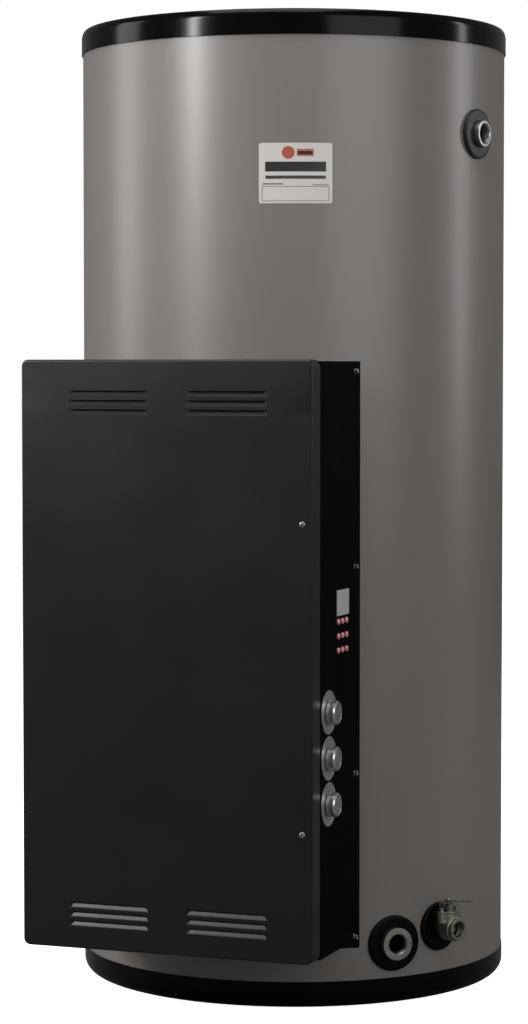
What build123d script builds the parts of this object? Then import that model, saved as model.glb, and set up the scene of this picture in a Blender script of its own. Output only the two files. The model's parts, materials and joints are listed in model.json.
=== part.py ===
from build123d import *

import math
import os

os.makedirs("parts", exist_ok=True)

# A tall electric storage water heater with a control cabinet on its front, in millimetres. Z is up, the
# origin is on the tank's axis at the floor, the cabinet faces -Y and its controls are on its +X side. Places
# on the round jacket are given by a bearing in degrees, from the cabinet's front towards +X, and by a
# distance from the axis.

# Overall sizes
JACKET_DIAMETER = 666.8
OVERALL_HEIGHT = 1489.6
CABINET_WIDTH = 446.6
CABINET_DEPTH = 178.0
CABINET_TOP = 969.4
CABINET_BOTTOM = 119.9

# Base pan, jacket and cap
BASE_HEIGHT = 41.4
BASE_SHEET = 1.0
BASE_CORNER = 20.0
CAP_HEIGHT = 38.2
CAP_WALL = 2.0
CAP_EDGE_WIDTH = 7.5
CAP_EDGE_HEIGHT = 14.0
JACKET_SHEET = 0.9
LAP_GAP = 0.2
JACKET_LAP = 20.0
SEAM_ANGLE = 4.0
SEAM_SCREW_COUNT = 8
SEAM_SCREW_MARGIN = 90.0
HEX_HEAD_WIDTH = 6.4
HEX_HEAD_HEIGHT = 4.4
HEAD_WASHER_DIAMETER = 8.6
HEAD_WASHER_THICKNESS = 1.2
SCREW_DIAMETER = 4.2
SCREW_CLEARANCE = 0.2

# Tank, insulation and anode
INSULATION = 53.4
TANK_SHEET = 4.0
TANK_TOP_DROP = 114.6
HEAD_FIT = 0.3
HEAD_FLANGE = 25.0
TOP_HEAD_RISE = 58.0
BOTTOM_HEAD_EDGE = 42.0
BOTTOM_HEAD_DROP = 34.0
FOAM_GAP = 0.3
FOAM_TOP_GAP = 17.6
ANODE_OFFSET = 120.0
ANODE_DIAMETER = 19.0
ANODE_LENGTH = 900.0
ANODE_HEX_WIDTH = 27.0
ANODE_HEX_HEIGHT = 10.0
ANODE_BOSS_DIAMETER = 34.0
ANODE_BOSS_TOP = 6.0
ANODE_WELL_GAP = 8.0

# Water fittings on the right of the jacket
OUTLET_BEARING = 76.5
OUTLET_DROP = 173.6
OUTLET_DIAMETER = 40.0
OUTLET_PROJECTION = 15.3
INLET_BEARING = 46.6
INLET_HEIGHT = 93.9
INLET_DIAMETER = 49.0
INLET_PROJECTION = 15.0
PIPE_THREAD_DIAMETER = 30.3
PIPE_THREAD_LENGTH = 14.5
PASSAGE_DIAMETER = 26.0
FITTING_REACH = 10.0
WELD_GAP = 0.2
JACKET_HOLE_GAP = 3.0
ROSETTE_GAP = 0.3
ROSETTE_EDGE = 1.0
OUTLET_ROSETTE = (76.0, 6.0)
INLET_ROSETTE = (84.0, 5.0)
DRAIN_ROSETTE = (74.0, 5.0)

# Drain valve
DRAIN_BEARING = 61.3
DRAIN_HEIGHT = 110.5
SPUD_DIAMETER = 36.0
SPUD_DROP = 1.0
SPIGOT_DIAMETER = 26.7
SPIGOT_REACH = 16.0
BALL_CENTRE = 21.5
BALL_HOUSING_DIAMETER = 37.6
BALL_DIAMETER = 24.0
BALL_GAP = 0.4
BALL_FLAT = 10.6
WATERWAY_DIAMETER = 18.0
VALVE_COLLAR_DIAMETER = 37.0
VALVE_COLLAR_END = 37.0
VALVE_OUTLET_DIAMETER = 33.0
VALVE_OUTLET_END = 44.0
DRAIN_THREAD_DIAMETER = 24.1
DRAIN_THREAD_LENGTH = 10.0
BONNET_EAR_SPACING = 30.0
BONNET_WIDTH = 14.0
BONNET_SEAT = 22.0
BONNET_THICKNESS = 4.5
GLAND_DIAMETER = 14.0
GLAND_HEIGHT = 10.0
STEM_DIAMETER = 8.0
STEM_TOP = 45.5
RUNNING_FIT = 0.08
LEVER_THICKNESS = 2.0
LEVER_WIDTH = 12.0
LEVER_REACH = 47.0
LEVER_DROOP = 5.0
LEVER_HUB = 10.0
LEVER_TAB_REACH = 13.0
LEVER_TAB_DROP = 6.0
LEVER_HEIGHT = 39.0
LEVER_NUT_WIDTH = 11.0
LEVER_NUT_HEIGHT = 3.0

# Heating elements behind the cabinet
ELEMENT_COUNT = 3
ELEMENT_FIRST_HEIGHT = 230.0
ELEMENT_PITCH = 165.0
NECK_DIAMETER = 114.0
NECK_BORE = 102.0
FLANGE_DIAMETER = 150.0
NECK_RING_GAP = 2.5
NECK_RING_THICKNESS = 10.0
GASKET_THICKNESS = 2.0
FLANGE_THICKNESS = 12.0
FLANGE_BOLT_CIRCLE = 132.0
FLANGE_BOLT_COUNT = 6
FLANGE_BOLT_DIAMETER = 10.0
FLANGE_BOLT_HEAD_WIDTH = 15.0
FLANGE_BOLT_HEAD_HEIGHT = 6.4
HAIRPIN_COUNT = 3
HAIRPIN_SPACING = 31.0
HAIRPIN_DIAMETER = 11.0
HAIRPIN_LEG_SPACING = 30.0
HAIRPIN_LENGTH = 430.0
TERMINAL_DIAMETER = 5.0
TERMINAL_LENGTH = 20.0

# Control cabinet and door
CABINET_STANDOFF = 0.6
CABINET_SHEET = 1.5
PANEL_GAP = 0.1
FLOOR_GAP = 0.4
REAR_BOTTOM = 104.8
BOTTOM_KINK = 90.1
FRONT_FLANGE = 27.0
BACK_FLANGE = 45.0
FLANGE_END_GAP = 3.0
BRACKET_OFFSET = 150.0
BRACKET_WIDTH = 24.0
BRACKET_HEIGHTS = (180.0, 900.0)
CONDUIT_HOLE = 28.2
CONDUIT_SIDE = -120.0
PANEL_SCREW_INSET = 25.5
PANEL_SCREW_TOP = 14.4
PANEL_SCREW_BOTTOM = 20.8
PANEL_SCREW_MIDDLES = (367.3, 670.6)
PANEL_SCREW_LENGTH = 9.0
DOOR_SEAM = 0.5
DOOR_DEPTH = 33.4
DOOR_SHEET = 1.5
DOOR_OVERHANG_TOP = 2.4
DOOR_OVERHANG_BOTTOM = 1.3
DOOR_CORNER = 10.0
DOOR_EDGE = 3.0
RELIEF_HEIGHT = 4.0
RELIEF_DEPTH = 28.0
DOOR_SCREW_HEIGHTS = (303.6, 740.9)
DOOR_SCREW_INSET = 14.3
DOOR_SCREW_DIAMETER = 5.0
DOOR_SCREW_PAST = 8.0
DOOR_SCREW_HOLE_GAP = 0.6
DOOR_SCREW_HEAD = 9.0
DOOR_SCREW_HEAD_HEIGHT = 3.4
LOUVRE_LENGTH = 123.0
LOUVRE_HEIGHT = 8.4
LOUVRE_DEPTH = 7.0
LOUVRE_END = 7.0
LOUVRE_LIP = 1.2
LOUVRE_PITCH = 13.4
LOUVRE_ROWS = 3
LOUVRE_SIDES = (-87.2, 94.3)
LOUVRE_TOP_MARGIN = 44.5
LOUVRE_BOTTOM_MARGIN = 41.0
HINGE_HEIGHTS = (215.0, 545.0, 875.0)
HINGE_LENGTH = 64.0
HINGE_LEAF = 26.0
HINGE_LEAF_SHEET = 1.5
KNUCKLE_DIAMETER = 7.0
KNUCKLE_GAP = 0.3
KNUCKLE_STANDOFF = 0.2
HINGE_PIN_DIAMETER = 3.6
HINGE_PIN_HEAD = 1.2

# Controls on the cabinet's right side panel
DISPLAY_DEPTH_PLACE = 412.8
DISPLAY_HEIGHT_PLACE = 622.4
DISPLAY_WIDTH = 53.0
DISPLAY_HEIGHT = 37.0
DISPLAY_CORNER = 1.5
DISPLAY_GAP = 0.2
DISPLAY_PROUD = 0.6
MODULE_WIDTH = 64.0
MODULE_HEIGHT = 44.0
MODULE_DEPTH = 15.0
LAMP_DEPTH_PLACE = 417.0
LAMP_HEIGHT_PLACE = 575.0
LAMP_SPACING = 18.0
LAMP_ROW_SPACING = 20.7
LAMP_DIAMETER = 8.6
LAMP_PROUD = 3.5
LAMP_DOME = 1.6
LAMP_BODY_DIAMETER = 7.6
LAMP_BODY_LENGTH = 12.0
LAMP_GAP = 0.2
DIAL_DEPTH_PLACE = 475.0
DIAL_HEIGHT_PLACE = 403.6
DIAL_PITCH = 65.9
DIAL_COUNT = 3
DIAL_PLATE_DIAMETER = 63.4
DIAL_PLATE_THICKNESS = 1.0
DIAL_HOLE_GAP = 1.5
KNOB_DIAMETER = 35.0
KNOB_HEIGHT = 13.2
KNOB_LIFT = 0.5
KNOB_EDGE = 1.6
SPINDLE_DIAMETER = 6.0
SPINDLE_IN_KNOB = 10.0
SPINDLE_IN_BODY = 16.0
THERMOSTAT_DIAMETER = 46.0
THERMOSTAT_DEPTH = 32.0
THERMOSTAT_EDGE = 2.0

# Rating label on the jacket
LABEL_BEARING = 20.2
LABEL_WIDTH = 109.0
LABEL_HEIGHT = 89.0
LABEL_TOP_DROP = 198.0
LABEL_THICKNESS = 0.3
LABEL_CORNER = 3.0
LABEL_GAP = 0.05

# Parts on the cabinet's back plate, above the element flanges
CONTACTOR_COUNT = 3
CONTACTOR_PITCH = 100.0
CONTACTOR_SHIFT = -40.0
CONTACTOR_SIZE = (70.0, 72.0, 85.0)
CONTACTOR_LIFT = 52.0
CONTACTOR_EDGE = 3.0
ARMATURE_SIZE = (34.0, 12.0, 44.0)
ARMATURE_GAP = 0.5
ARMATURE_TRAVEL = 4.0
ARMATURE_PROUD = 5.0
FUSE_BLOCK_LIFT = 24.0
FUSE_BLOCK_SIZE = (82.0, 18.0, 76.0)
FUSE_RIDGE_DEPTH = 12.0
FUSE_RIDGE_THICKNESS = 10.0
FUSE_DIAMETER = 14.3
FUSE_LENGTH = 51.0
FUSE_PITCH = 24.0
FUSE_GAP = 0.2
FUSE_COUNT = 3
TERMINAL_BLOCK_SIZE = (78.0, 34.0, 52.0)
TERMINAL_BLOCK_SIDE = 158.0
TERMINAL_BARRIER = 4.0
TERMINAL_BARRIER_COUNT = 4
TERMINAL_BARRIER_RISE = 12.0
LIMIT_SIDE = -165.0
LIMIT_LIFT = 76.0
LIMIT_SIZE = (56.0, 26.0, 50.0)
LIMIT_COLLAR_DIAMETER = 16.0
LIMIT_COLLAR_HEIGHT = 6.0
RESET_DIAMETER = 10.0
RESET_GAP = 0.3
RESET_PROUD = 3.0
RESET_TRAVEL = 2.0
RESET_LENGTH = 14.0
LEAD_DIAMETER = 7.0
LEAD_BEND = 12.0
LEAD_END_GAP = 0.2
LEAD_TURN = 40.0
LEAD_FLANGES = (0, 2, 1)

# Sizes worked out from the ones above
JACKET_RADIUS = JACKET_DIAMETER / 2
JACKET_INSIDE = JACKET_RADIUS - JACKET_SHEET
BASE_RADIUS = JACKET_RADIUS + LAP_GAP + BASE_SHEET
CAP_RADIUS = JACKET_RADIUS + LAP_GAP + CAP_WALL
CAP_BOTTOM = OVERALL_HEIGHT - CAP_HEIGHT
JACKET_BOTTOM = BASE_HEIGHT - JACKET_LAP
JACKET_TOP = CAP_BOTTOM + JACKET_LAP
SEAM_BOTTOM = BASE_HEIGHT + LAP_GAP
SEAM_TOP = CAP_BOTTOM - LAP_GAP
TANK_RADIUS = JACKET_RADIUS - INSULATION
TANK_INSIDE = TANK_RADIUS - TANK_SHEET
TANK_TOP = OVERALL_HEIGHT - TANK_TOP_DROP
HEAD_RADIUS = TANK_INSIDE - HEAD_FIT
FOAM_TOP = OVERALL_HEIGHT - FOAM_TOP_GAP
FOAM_BOTTOM = BASE_CORNER + FOAM_GAP
OUTLET_HEIGHT = OVERALL_HEIGHT - OUTLET_DROP
CABINET_HALF = CABINET_WIDTH / 2
CABINET_REAR = JACKET_RADIUS + CABINET_STANDOFF
BACK_FACE = CABINET_REAR + CABINET_SHEET
CABINET_FRONT = CABINET_REAR + CABINET_DEPTH
CABINET_INSIDE = CABINET_HALF - CABINET_SHEET
DOOR_REAR = CABINET_FRONT + DOOR_SEAM
DOOR_FACE = DOOR_REAR + DOOR_DEPTH
DOOR_TOP = CABINET_TOP + DOOR_OVERHANG_TOP
DOOR_BOTTOM = CABINET_BOTTOM - DOOR_OVERHANG_BOTTOM
DOOR_MIDDLE = (DOOR_TOP + DOOR_BOTTOM) / 2
ELEMENT_HEIGHTS = [ELEMENT_FIRST_HEIGHT + row * ELEMENT_PITCH for row in range(ELEMENT_COUNT)]
RING_START = BACK_FACE + NECK_RING_GAP
RING_END = RING_START + NECK_RING_THICKNESS
FLANGE_START = RING_END + GASKET_THICKNESS
FLANGE_END = FLANGE_START + FLANGE_THICKNESS
KNUCKLE_X = -CABINET_HALF - KNUCKLE_STANDOFF - KNUCKLE_DIAMETER / 2
KNUCKLE_Y = -(CABINET_FRONT + DOOR_SEAM / 2)
PANEL_SCREW_Y = -(CABINET_REAR + PANEL_SCREW_INSET)
PANEL_SCREW_HEIGHTS = (REAR_BOTTOM + PANEL_SCREW_BOTTOM, *PANEL_SCREW_MIDDLES, CABINET_TOP - PANEL_SCREW_TOP)
DOOR_SCREW_X = CABINET_HALF - DOOR_SCREW_INSET
LAMP_PLACES = [
    (column * LAMP_SPACING - LAMP_DEPTH_PLACE, LAMP_HEIGHT_PLACE + row * LAMP_ROW_SPACING)
    for column in (-1, 0, 1)
    for row in (-1, 0, 1)
]
DIAL_HEIGHTS = [DIAL_HEIGHT_PLACE + (row - 1) * DIAL_PITCH for row in range(DIAL_COUNT)]
KNOB_BASE = CABINET_HALF + DIAL_PLATE_THICKNESS + KNOB_LIFT
CONTACTOR_WIDTH, CONTACTOR_DEPTH, CONTACTOR_HEIGHT = CONTACTOR_SIZE
CONTACTOR_BOTTOM = ELEMENT_HEIGHTS[-1] + FLANGE_DIAMETER / 2 + CONTACTOR_LIFT
CONTACTOR_MIDDLE = CONTACTOR_BOTTOM + CONTACTOR_HEIGHT / 2
CONTACTOR_SIDES = [CONTACTOR_SHIFT + (place - 1) * CONTACTOR_PITCH for place in range(CONTACTOR_COUNT)]
ARMATURE_WIDTH, ARMATURE_DEPTH, ARMATURE_HEIGHT = ARMATURE_SIZE
FUSE_BLOCK_WIDTH, FUSE_BLOCK_DEPTH, FUSE_BLOCK_HEIGHT = FUSE_BLOCK_SIZE
FUSE_BLOCK_MIDDLE = CONTACTOR_BOTTOM + CONTACTOR_HEIGHT + FUSE_BLOCK_LIFT + FUSE_BLOCK_HEIGHT / 2
LIMIT_WIDTH, LIMIT_DEPTH, LIMIT_HEIGHT = LIMIT_SIZE
LIMIT_MIDDLE = ELEMENT_HEIGHTS[-1] + LIMIT_LIFT
ANODE_SEAT = TANK_TOP + TOP_HEAD_RISE + ANODE_BOSS_TOP
SEAM_SCREW_STEP = (SEAM_TOP - SEAM_BOTTOM - 2 * SEAM_SCREW_MARGIN) / (SEAM_SCREW_COUNT - 1)
SEAM_SCREW_HEIGHTS = [
    SEAM_BOTTOM + SEAM_SCREW_MARGIN + place * SEAM_SCREW_STEP for place in range(SEAM_SCREW_COUNT)
]
FITTINGS = [
    (OUTLET_BEARING, OUTLET_HEIGHT, OUTLET_DIAMETER),
    (INLET_BEARING, INLET_HEIGHT, INLET_DIAMETER),
    (DRAIN_BEARING, DRAIN_HEIGHT, SPUD_DIAMETER),
    *((0, height, NECK_DIAMETER) for height in ELEMENT_HEIGHTS),
]


def write_piece(piece, name):
    """Labels a finished piece and writes it."""
    piece.part.label = name
    export_step(piece.part, f"parts/{name}.step")


def outward(bearing):
    """The level direction away from the tank's axis at a bearing."""
    turn = math.radians(bearing)
    return Vector(math.sin(turn), -math.cos(turn), 0)


def radial_plane(bearing, height, distance):
    """A plane square to a radius of the tank, facing outwards, with its own y upwards."""
    away = outward(bearing)
    return Plane(origin=away * distance + Vector(0, 0, height), x_dir=away.rotate(Axis.Z, 90), z_dir=away)


def section_plane(bearing):
    """An upright plane through the tank's axis, with its own x away from the axis and its own y upwards."""
    return Plane(origin=(0, 0, 0), x_dir=outward(bearing), z_dir=outward(bearing).cross(Vector(0, 0, 1)))


def radial_bar(bearing, height, start, end, diameter, mode=Mode.ADD):
    """Adds or cuts a round bar that lies along a radius of the tank."""
    with BuildSketch(radial_plane(bearing, height, start)) as section:
        Circle(diameter / 2)
    extrude(section.sketch, amount=end - start, mode=mode)


def cut_fitting_holes(gap):
    """Cuts a hole for each water fitting and element neck through a wall round the tank."""
    for bearing, height, diameter in FITTINGS:
        radial_bar(bearing, height, TANK_INSIDE / 2, CAP_RADIUS, diameter + 2 * gap, Mode.SUBTRACT)


def front_box(side, height, near, far, width, tall, mode=Mode.ADD):
    """Adds or cuts a box square to the cabinet, from one distance in front of the tank's axis to another."""
    with BuildSketch(Plane.XZ.offset(near)) as section:
        with Locations((side, height)):
            Rectangle(width, tall)
    extrude(section.sketch, amount=far - near, mode=mode)


def side_bar(depth, height, near, far, diameter, mode=Mode.ADD):
    """Adds or cuts a round bar along X, through the cabinet's right side panel."""
    with BuildSketch(Plane.YZ.offset(near)) as section:
        with Locations((-depth, height)):
            Circle(diameter / 2)
    extrude(section.sketch, amount=far - near, mode=mode)


def dome_profile(radius, edge, rise, wall):
    """The half section of a dished head: a straight flange below the edge and an elliptical dome past it."""
    side = math.copysign(1, rise)
    arc_start = min(0, 90 * side)
    with BuildSketch(Plane.XZ) as section:
        with BuildLine():
            Line((0, edge + rise), (0, edge + rise - side * wall))
            EllipticalCenterArc(
                (0, edge), radius - wall, abs(rise) - wall, start_angle=arc_start, arc_size=90
            )
            Polyline((radius - wall, edge), (radius - wall, edge - side * HEAD_FLANGE))
            Line((radius - wall, edge - side * HEAD_FLANGE), (radius, edge - side * HEAD_FLANGE))
            Line((radius, edge - side * HEAD_FLANGE), (radius, edge))
            EllipticalCenterArc((0, edge), radius, abs(rise), start_angle=arc_start, arc_size=90)
        make_face()
    return section.sketch


# ---- Casing ----

with BuildPart() as base_pan:
    with BuildSketch(Plane.XZ):
        with BuildLine():
            Line((0, 0), (BASE_RADIUS - BASE_CORNER, 0))
            CenterArc((BASE_RADIUS - BASE_CORNER, BASE_CORNER), BASE_CORNER, start_angle=-90, arc_size=90)
            Polyline(
                (BASE_RADIUS, BASE_CORNER),
                (BASE_RADIUS, BASE_HEIGHT),
                (BASE_RADIUS - BASE_SHEET, BASE_HEIGHT),
                (BASE_RADIUS - BASE_SHEET, BASE_CORNER),
            )
            CenterArc(
                (BASE_RADIUS - BASE_CORNER, BASE_CORNER),
                BASE_CORNER - BASE_SHEET,
                start_angle=0,
                arc_size=-90,
            )
            Polyline((BASE_RADIUS - BASE_CORNER, BASE_SHEET), (0, BASE_SHEET), (0, 0))
        make_face()
    revolve(axis=Axis.Z)
write_piece(base_pan, "base_pan")

with BuildPart() as top_cap:
    with BuildSketch(Plane.XZ):
        with BuildLine():
            Polyline(
                (0, OVERALL_HEIGHT - CAP_WALL),
                (0, OVERALL_HEIGHT),
                (CAP_RADIUS - CAP_EDGE_WIDTH, OVERALL_HEIGHT),
            )
            EllipticalCenterArc(
                (CAP_RADIUS - CAP_EDGE_WIDTH, OVERALL_HEIGHT - CAP_EDGE_HEIGHT),
                CAP_EDGE_WIDTH,
                CAP_EDGE_HEIGHT,
                start_angle=0,
                arc_size=90,
            )
            Polyline(
                (CAP_RADIUS, OVERALL_HEIGHT - CAP_EDGE_HEIGHT),
                (CAP_RADIUS, CAP_BOTTOM),
                (CAP_RADIUS - CAP_WALL, CAP_BOTTOM),
                (CAP_RADIUS - CAP_WALL, OVERALL_HEIGHT - CAP_EDGE_HEIGHT),
            )
            EllipticalCenterArc(
                (CAP_RADIUS - CAP_EDGE_WIDTH, OVERALL_HEIGHT - CAP_EDGE_HEIGHT),
                CAP_EDGE_WIDTH - CAP_WALL,
                CAP_EDGE_HEIGHT - CAP_WALL,
                start_angle=0,
                arc_size=90,
            )
            Line((CAP_RADIUS - CAP_EDGE_WIDTH, OVERALL_HEIGHT - CAP_WALL), (0, OVERALL_HEIGHT - CAP_WALL))
        make_face()
    revolve(axis=Axis.Z)
write_piece(top_cap, "top_cap")

# The jacket is one rolled sheet, with its lapped seam at the back and a hole for each fitting.
with BuildPart() as jacket:
    with BuildSketch(Plane.XY.offset(JACKET_BOTTOM)):
        Circle(JACKET_RADIUS)
        Circle(JACKET_INSIDE, mode=Mode.SUBTRACT)
    extrude(amount=JACKET_TOP - JACKET_BOTTOM)
    with BuildSketch(section_plane(180 - SEAM_ANGLE / 2)):
        with Locations((JACKET_RADIUS + JACKET_SHEET, (SEAM_TOP + SEAM_BOTTOM) / 2)):
            Rectangle(1.5 * JACKET_SHEET, SEAM_TOP - SEAM_BOTTOM, align=(Align.MAX, Align.CENTER))
    revolve(axis=Axis.Z, revolution_arc=SEAM_ANGLE)
    cut_fitting_holes(JACKET_HOLE_GAP)
    for screw_height in SEAM_SCREW_HEIGHTS:
        radial_bar(
            180,
            screw_height,
            TANK_RADIUS,
            CAP_RADIUS,
            SCREW_DIAMETER + 2 * SCREW_CLEARANCE,
            Mode.SUBTRACT,
        )
write_piece(jacket, "jacket")


def add_screw(plane, length):
    """Adds a hexagon washer-head screw whose head sits on a plane and whose shank runs back from it."""
    with BuildSketch(plane) as shank:
        Circle(SCREW_DIAMETER / 2)
    extrude(shank.sketch, amount=-length)
    with BuildSketch(plane) as washer:
        Circle(HEAD_WASHER_DIAMETER / 2)
    extrude(washer.sketch, amount=HEAD_WASHER_THICKNESS)
    with BuildSketch(plane) as head:
        RegularPolygon(HEX_HEAD_WIDTH / 2, 6, major_radius=False)
    extrude(head.sketch, amount=HEAD_WASHER_THICKNESS + HEX_HEAD_HEIGHT)


with BuildPart() as jacket_seam_screws:
    for screw_height in SEAM_SCREW_HEIGHTS:
        add_screw(radial_plane(180, screw_height, JACKET_RADIUS + JACKET_SHEET), 2 * JACKET_SHEET)
write_piece(jacket_seam_screws, "jacket_seam_screws")

with BuildPart() as rating_label:
    with BuildSketch(Plane.XY.offset(OVERALL_HEIGHT - LABEL_TOP_DROP - LABEL_HEIGHT)):
        Circle(JACKET_RADIUS + LABEL_GAP + LABEL_THICKNESS)
        Circle(JACKET_RADIUS + LABEL_GAP, mode=Mode.SUBTRACT)
    extrude(amount=LABEL_HEIGHT)
    with BuildSketch(
        radial_plane(LABEL_BEARING, OVERALL_HEIGHT - LABEL_TOP_DROP - LABEL_HEIGHT / 2, JACKET_RADIUS / 2)
    ):
        RectangleRounded(LABEL_WIDTH, LABEL_HEIGHT, LABEL_CORNER)
    extrude(amount=JACKET_RADIUS, mode=Mode.INTERSECT)
write_piece(rating_label, "rating_label")

# ---- Tank ----

# The shell runs down past the bottom head as a skirt, which stands on the floor of the base pan.
with BuildPart() as tank_shell:
    with BuildSketch(Plane.XY.offset(BASE_SHEET)):
        Circle(TANK_RADIUS)
        Circle(TANK_INSIDE, mode=Mode.SUBTRACT)
    extrude(amount=TANK_TOP - BASE_SHEET)
    cut_fitting_holes(WELD_GAP)
write_piece(tank_shell, "tank_shell")

with BuildPart() as tank_top_head:
    revolve(dome_profile(HEAD_RADIUS, TANK_TOP, TOP_HEAD_RISE, TANK_SHEET), axis=Axis.Z)
    with BuildSketch(Plane.XY.offset(TANK_TOP + TOP_HEAD_RISE / 2)):
        with Locations((0, ANODE_OFFSET)):
            Circle(ANODE_BOSS_DIAMETER / 2)
    extrude(amount=ANODE_SEAT - TANK_TOP - TOP_HEAD_RISE / 2)
    with BuildSketch(Plane.XY.offset(TANK_TOP)):
        with Locations((0, ANODE_OFFSET)):
            Circle(ANODE_DIAMETER / 2 + WELD_GAP)
    extrude(amount=ANODE_SEAT - TANK_TOP, mode=Mode.SUBTRACT)
write_piece(tank_top_head, "tank_top_head")

with BuildPart() as tank_bottom_head:
    revolve(dome_profile(HEAD_RADIUS, BOTTOM_HEAD_EDGE, -BOTTOM_HEAD_DROP, TANK_SHEET), axis=Axis.Z)
write_piece(tank_bottom_head, "tank_bottom_head")

with BuildPart() as anode_rod:
    with BuildSketch(Plane.XY.offset(ANODE_SEAT)):
        with Locations((0, ANODE_OFFSET)):
            Circle(ANODE_DIAMETER / 2)
    extrude(amount=-ANODE_LENGTH)
    with BuildSketch(Plane.XY.offset(ANODE_SEAT)):
        with Locations((0, ANODE_OFFSET)):
            RegularPolygon(ANODE_HEX_WIDTH / 2, 6, major_radius=False)
    extrude(amount=ANODE_HEX_HEIGHT)
write_piece(anode_rod, "anode_rod")

with BuildPart() as foam_insulation:
    with BuildSketch(Plane.XZ):
        with BuildLine():
            Polyline(
                (0, TANK_TOP + TOP_HEAD_RISE + FOAM_GAP),
                (0, FOAM_TOP),
                (JACKET_INSIDE - FOAM_GAP, FOAM_TOP),
                (JACKET_INSIDE - FOAM_GAP, FOAM_BOTTOM),
                (TANK_RADIUS + FOAM_GAP, FOAM_BOTTOM),
                (TANK_RADIUS + FOAM_GAP, TANK_TOP + FOAM_GAP),
                (HEAD_RADIUS + FOAM_GAP, TANK_TOP + FOAM_GAP),
            )
            EllipticalCenterArc(
                (0, TANK_TOP + FOAM_GAP), HEAD_RADIUS + FOAM_GAP, TOP_HEAD_RISE, start_angle=0, arc_size=90
            )
        make_face()
    revolve(axis=Axis.Z)
    with BuildSketch(Plane.XY.offset(TANK_TOP)):
        with Locations((0, ANODE_OFFSET)):
            Circle(ANODE_BOSS_DIAMETER / 2 + ANODE_WELL_GAP)
    extrude(amount=FOAM_TOP - TANK_TOP, mode=Mode.SUBTRACT)
    cut_fitting_holes(JACKET_HOLE_GAP)
write_piece(foam_insulation, "foam_insulation")

# ---- Water fittings ----


def pipe_coupling(bearing, height, diameter, projection):
    """Adds a coupling from inside the tank to past the jacket, with its pipe thread at the outer end."""
    mouth = JACKET_RADIUS + projection
    radial_bar(bearing, height, TANK_INSIDE - FITTING_REACH, mouth, diameter)
    radial_bar(bearing, height, TANK_INSIDE / 2, mouth, PASSAGE_DIAMETER, Mode.SUBTRACT)
    radial_bar(bearing, height, mouth - PIPE_THREAD_LENGTH, mouth, PIPE_THREAD_DIAMETER, Mode.SUBTRACT)


with BuildPart() as outlet_coupling:
    pipe_coupling(OUTLET_BEARING, OUTLET_HEIGHT, OUTLET_DIAMETER, OUTLET_PROJECTION)
write_piece(outlet_coupling, "outlet_coupling")

with BuildPart() as inlet_coupling:
    pipe_coupling(INLET_BEARING, INLET_HEIGHT, INLET_DIAMETER, INLET_PROJECTION)
write_piece(inlet_coupling, "inlet_coupling")

# The spud ends just under the drain rosette, and the drain valve's spigot screws into it.
with BuildPart() as drain_spud:
    spud_end = JACKET_RADIUS - SPUD_DROP
    radial_bar(DRAIN_BEARING, DRAIN_HEIGHT, TANK_INSIDE - FITTING_REACH, spud_end, SPUD_DIAMETER)
    spud_bore = SPIGOT_DIAMETER + 2 * WELD_GAP
    radial_bar(DRAIN_BEARING, DRAIN_HEIGHT, TANK_INSIDE / 2, spud_end, spud_bore, Mode.SUBTRACT)
write_piece(drain_spud, "drain_spud")


def add_rosette(bearing, height, size, hole):
    """Adds a round cover ring whose back follows the jacket and whose face is flat."""
    diameter, face = size
    radial_bar(bearing, height, JACKET_RADIUS - 2 * face, JACKET_RADIUS + face, diameter)
    chamfer(edges().filter_by(GeomType.CIRCLE).sort_by(SortBy.DISTANCE)[-1], ROSETTE_EDGE)
    radial_bar(bearing, height, TANK_RADIUS, CAP_RADIUS + face, hole + 2 * ROSETTE_GAP, Mode.SUBTRACT)
    with BuildSketch(Plane.XY.offset(height - diameter)) as wall:
        Circle(JACKET_RADIUS + LABEL_GAP)
    extrude(wall.sketch, amount=2 * diameter, mode=Mode.SUBTRACT)


with BuildPart() as outlet_rosette:
    add_rosette(OUTLET_BEARING, OUTLET_HEIGHT, OUTLET_ROSETTE, OUTLET_DIAMETER)
write_piece(outlet_rosette, "outlet_rosette")

with BuildPart() as inlet_rosette:
    add_rosette(INLET_BEARING, INLET_HEIGHT, INLET_ROSETTE, INLET_DIAMETER)
write_piece(inlet_rosette, "inlet_rosette")

with BuildPart() as drain_rosette:
    add_rosette(DRAIN_BEARING, DRAIN_HEIGHT, DRAIN_ROSETTE, SPIGOT_DIAMETER)
write_piece(drain_rosette, "drain_rosette")

# ---- Drain valve: a ball valve whose lever lies across the flow when it is shut ----

BALL_DISTANCE = JACKET_RADIUS + BALL_CENTRE
BALL_PLACE = outward(DRAIN_BEARING) * BALL_DISTANCE + Vector(0, 0, DRAIN_HEIGHT)
VALVE_LEVEL = Plane(origin=BALL_PLACE, x_dir=outward(DRAIN_BEARING).rotate(Axis.Z, 90), z_dir=(0, 0, 1))
VALVE_MOUTH = JACKET_RADIUS + VALVE_OUTLET_END


def valve_bar(start, end, diameter, mode=Mode.ADD):
    """Adds or cuts a round bar on the valve's waterway, between two distances outside the jacket."""
    radial_bar(DRAIN_BEARING, DRAIN_HEIGHT, JACKET_RADIUS + start, JACKET_RADIUS + end, diameter, mode)


def valve_sphere(radius, mode=Mode.ADD):
    """Adds or cuts a sphere round the ball's centre, with its poles on the waterway."""
    across = Plane(origin=BALL_PLACE, x_dir=outward(DRAIN_BEARING), z_dir=VALVE_LEVEL.x_dir)
    with BuildSketch(across) as half:
        Circle(radius)
        Rectangle(2 * radius, radius, align=(Align.CENTER, Align.MAX), mode=Mode.SUBTRACT)
    revolve(half.sketch, axis=Axis(BALL_PLACE, outward(DRAIN_BEARING)), mode=mode)


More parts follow.
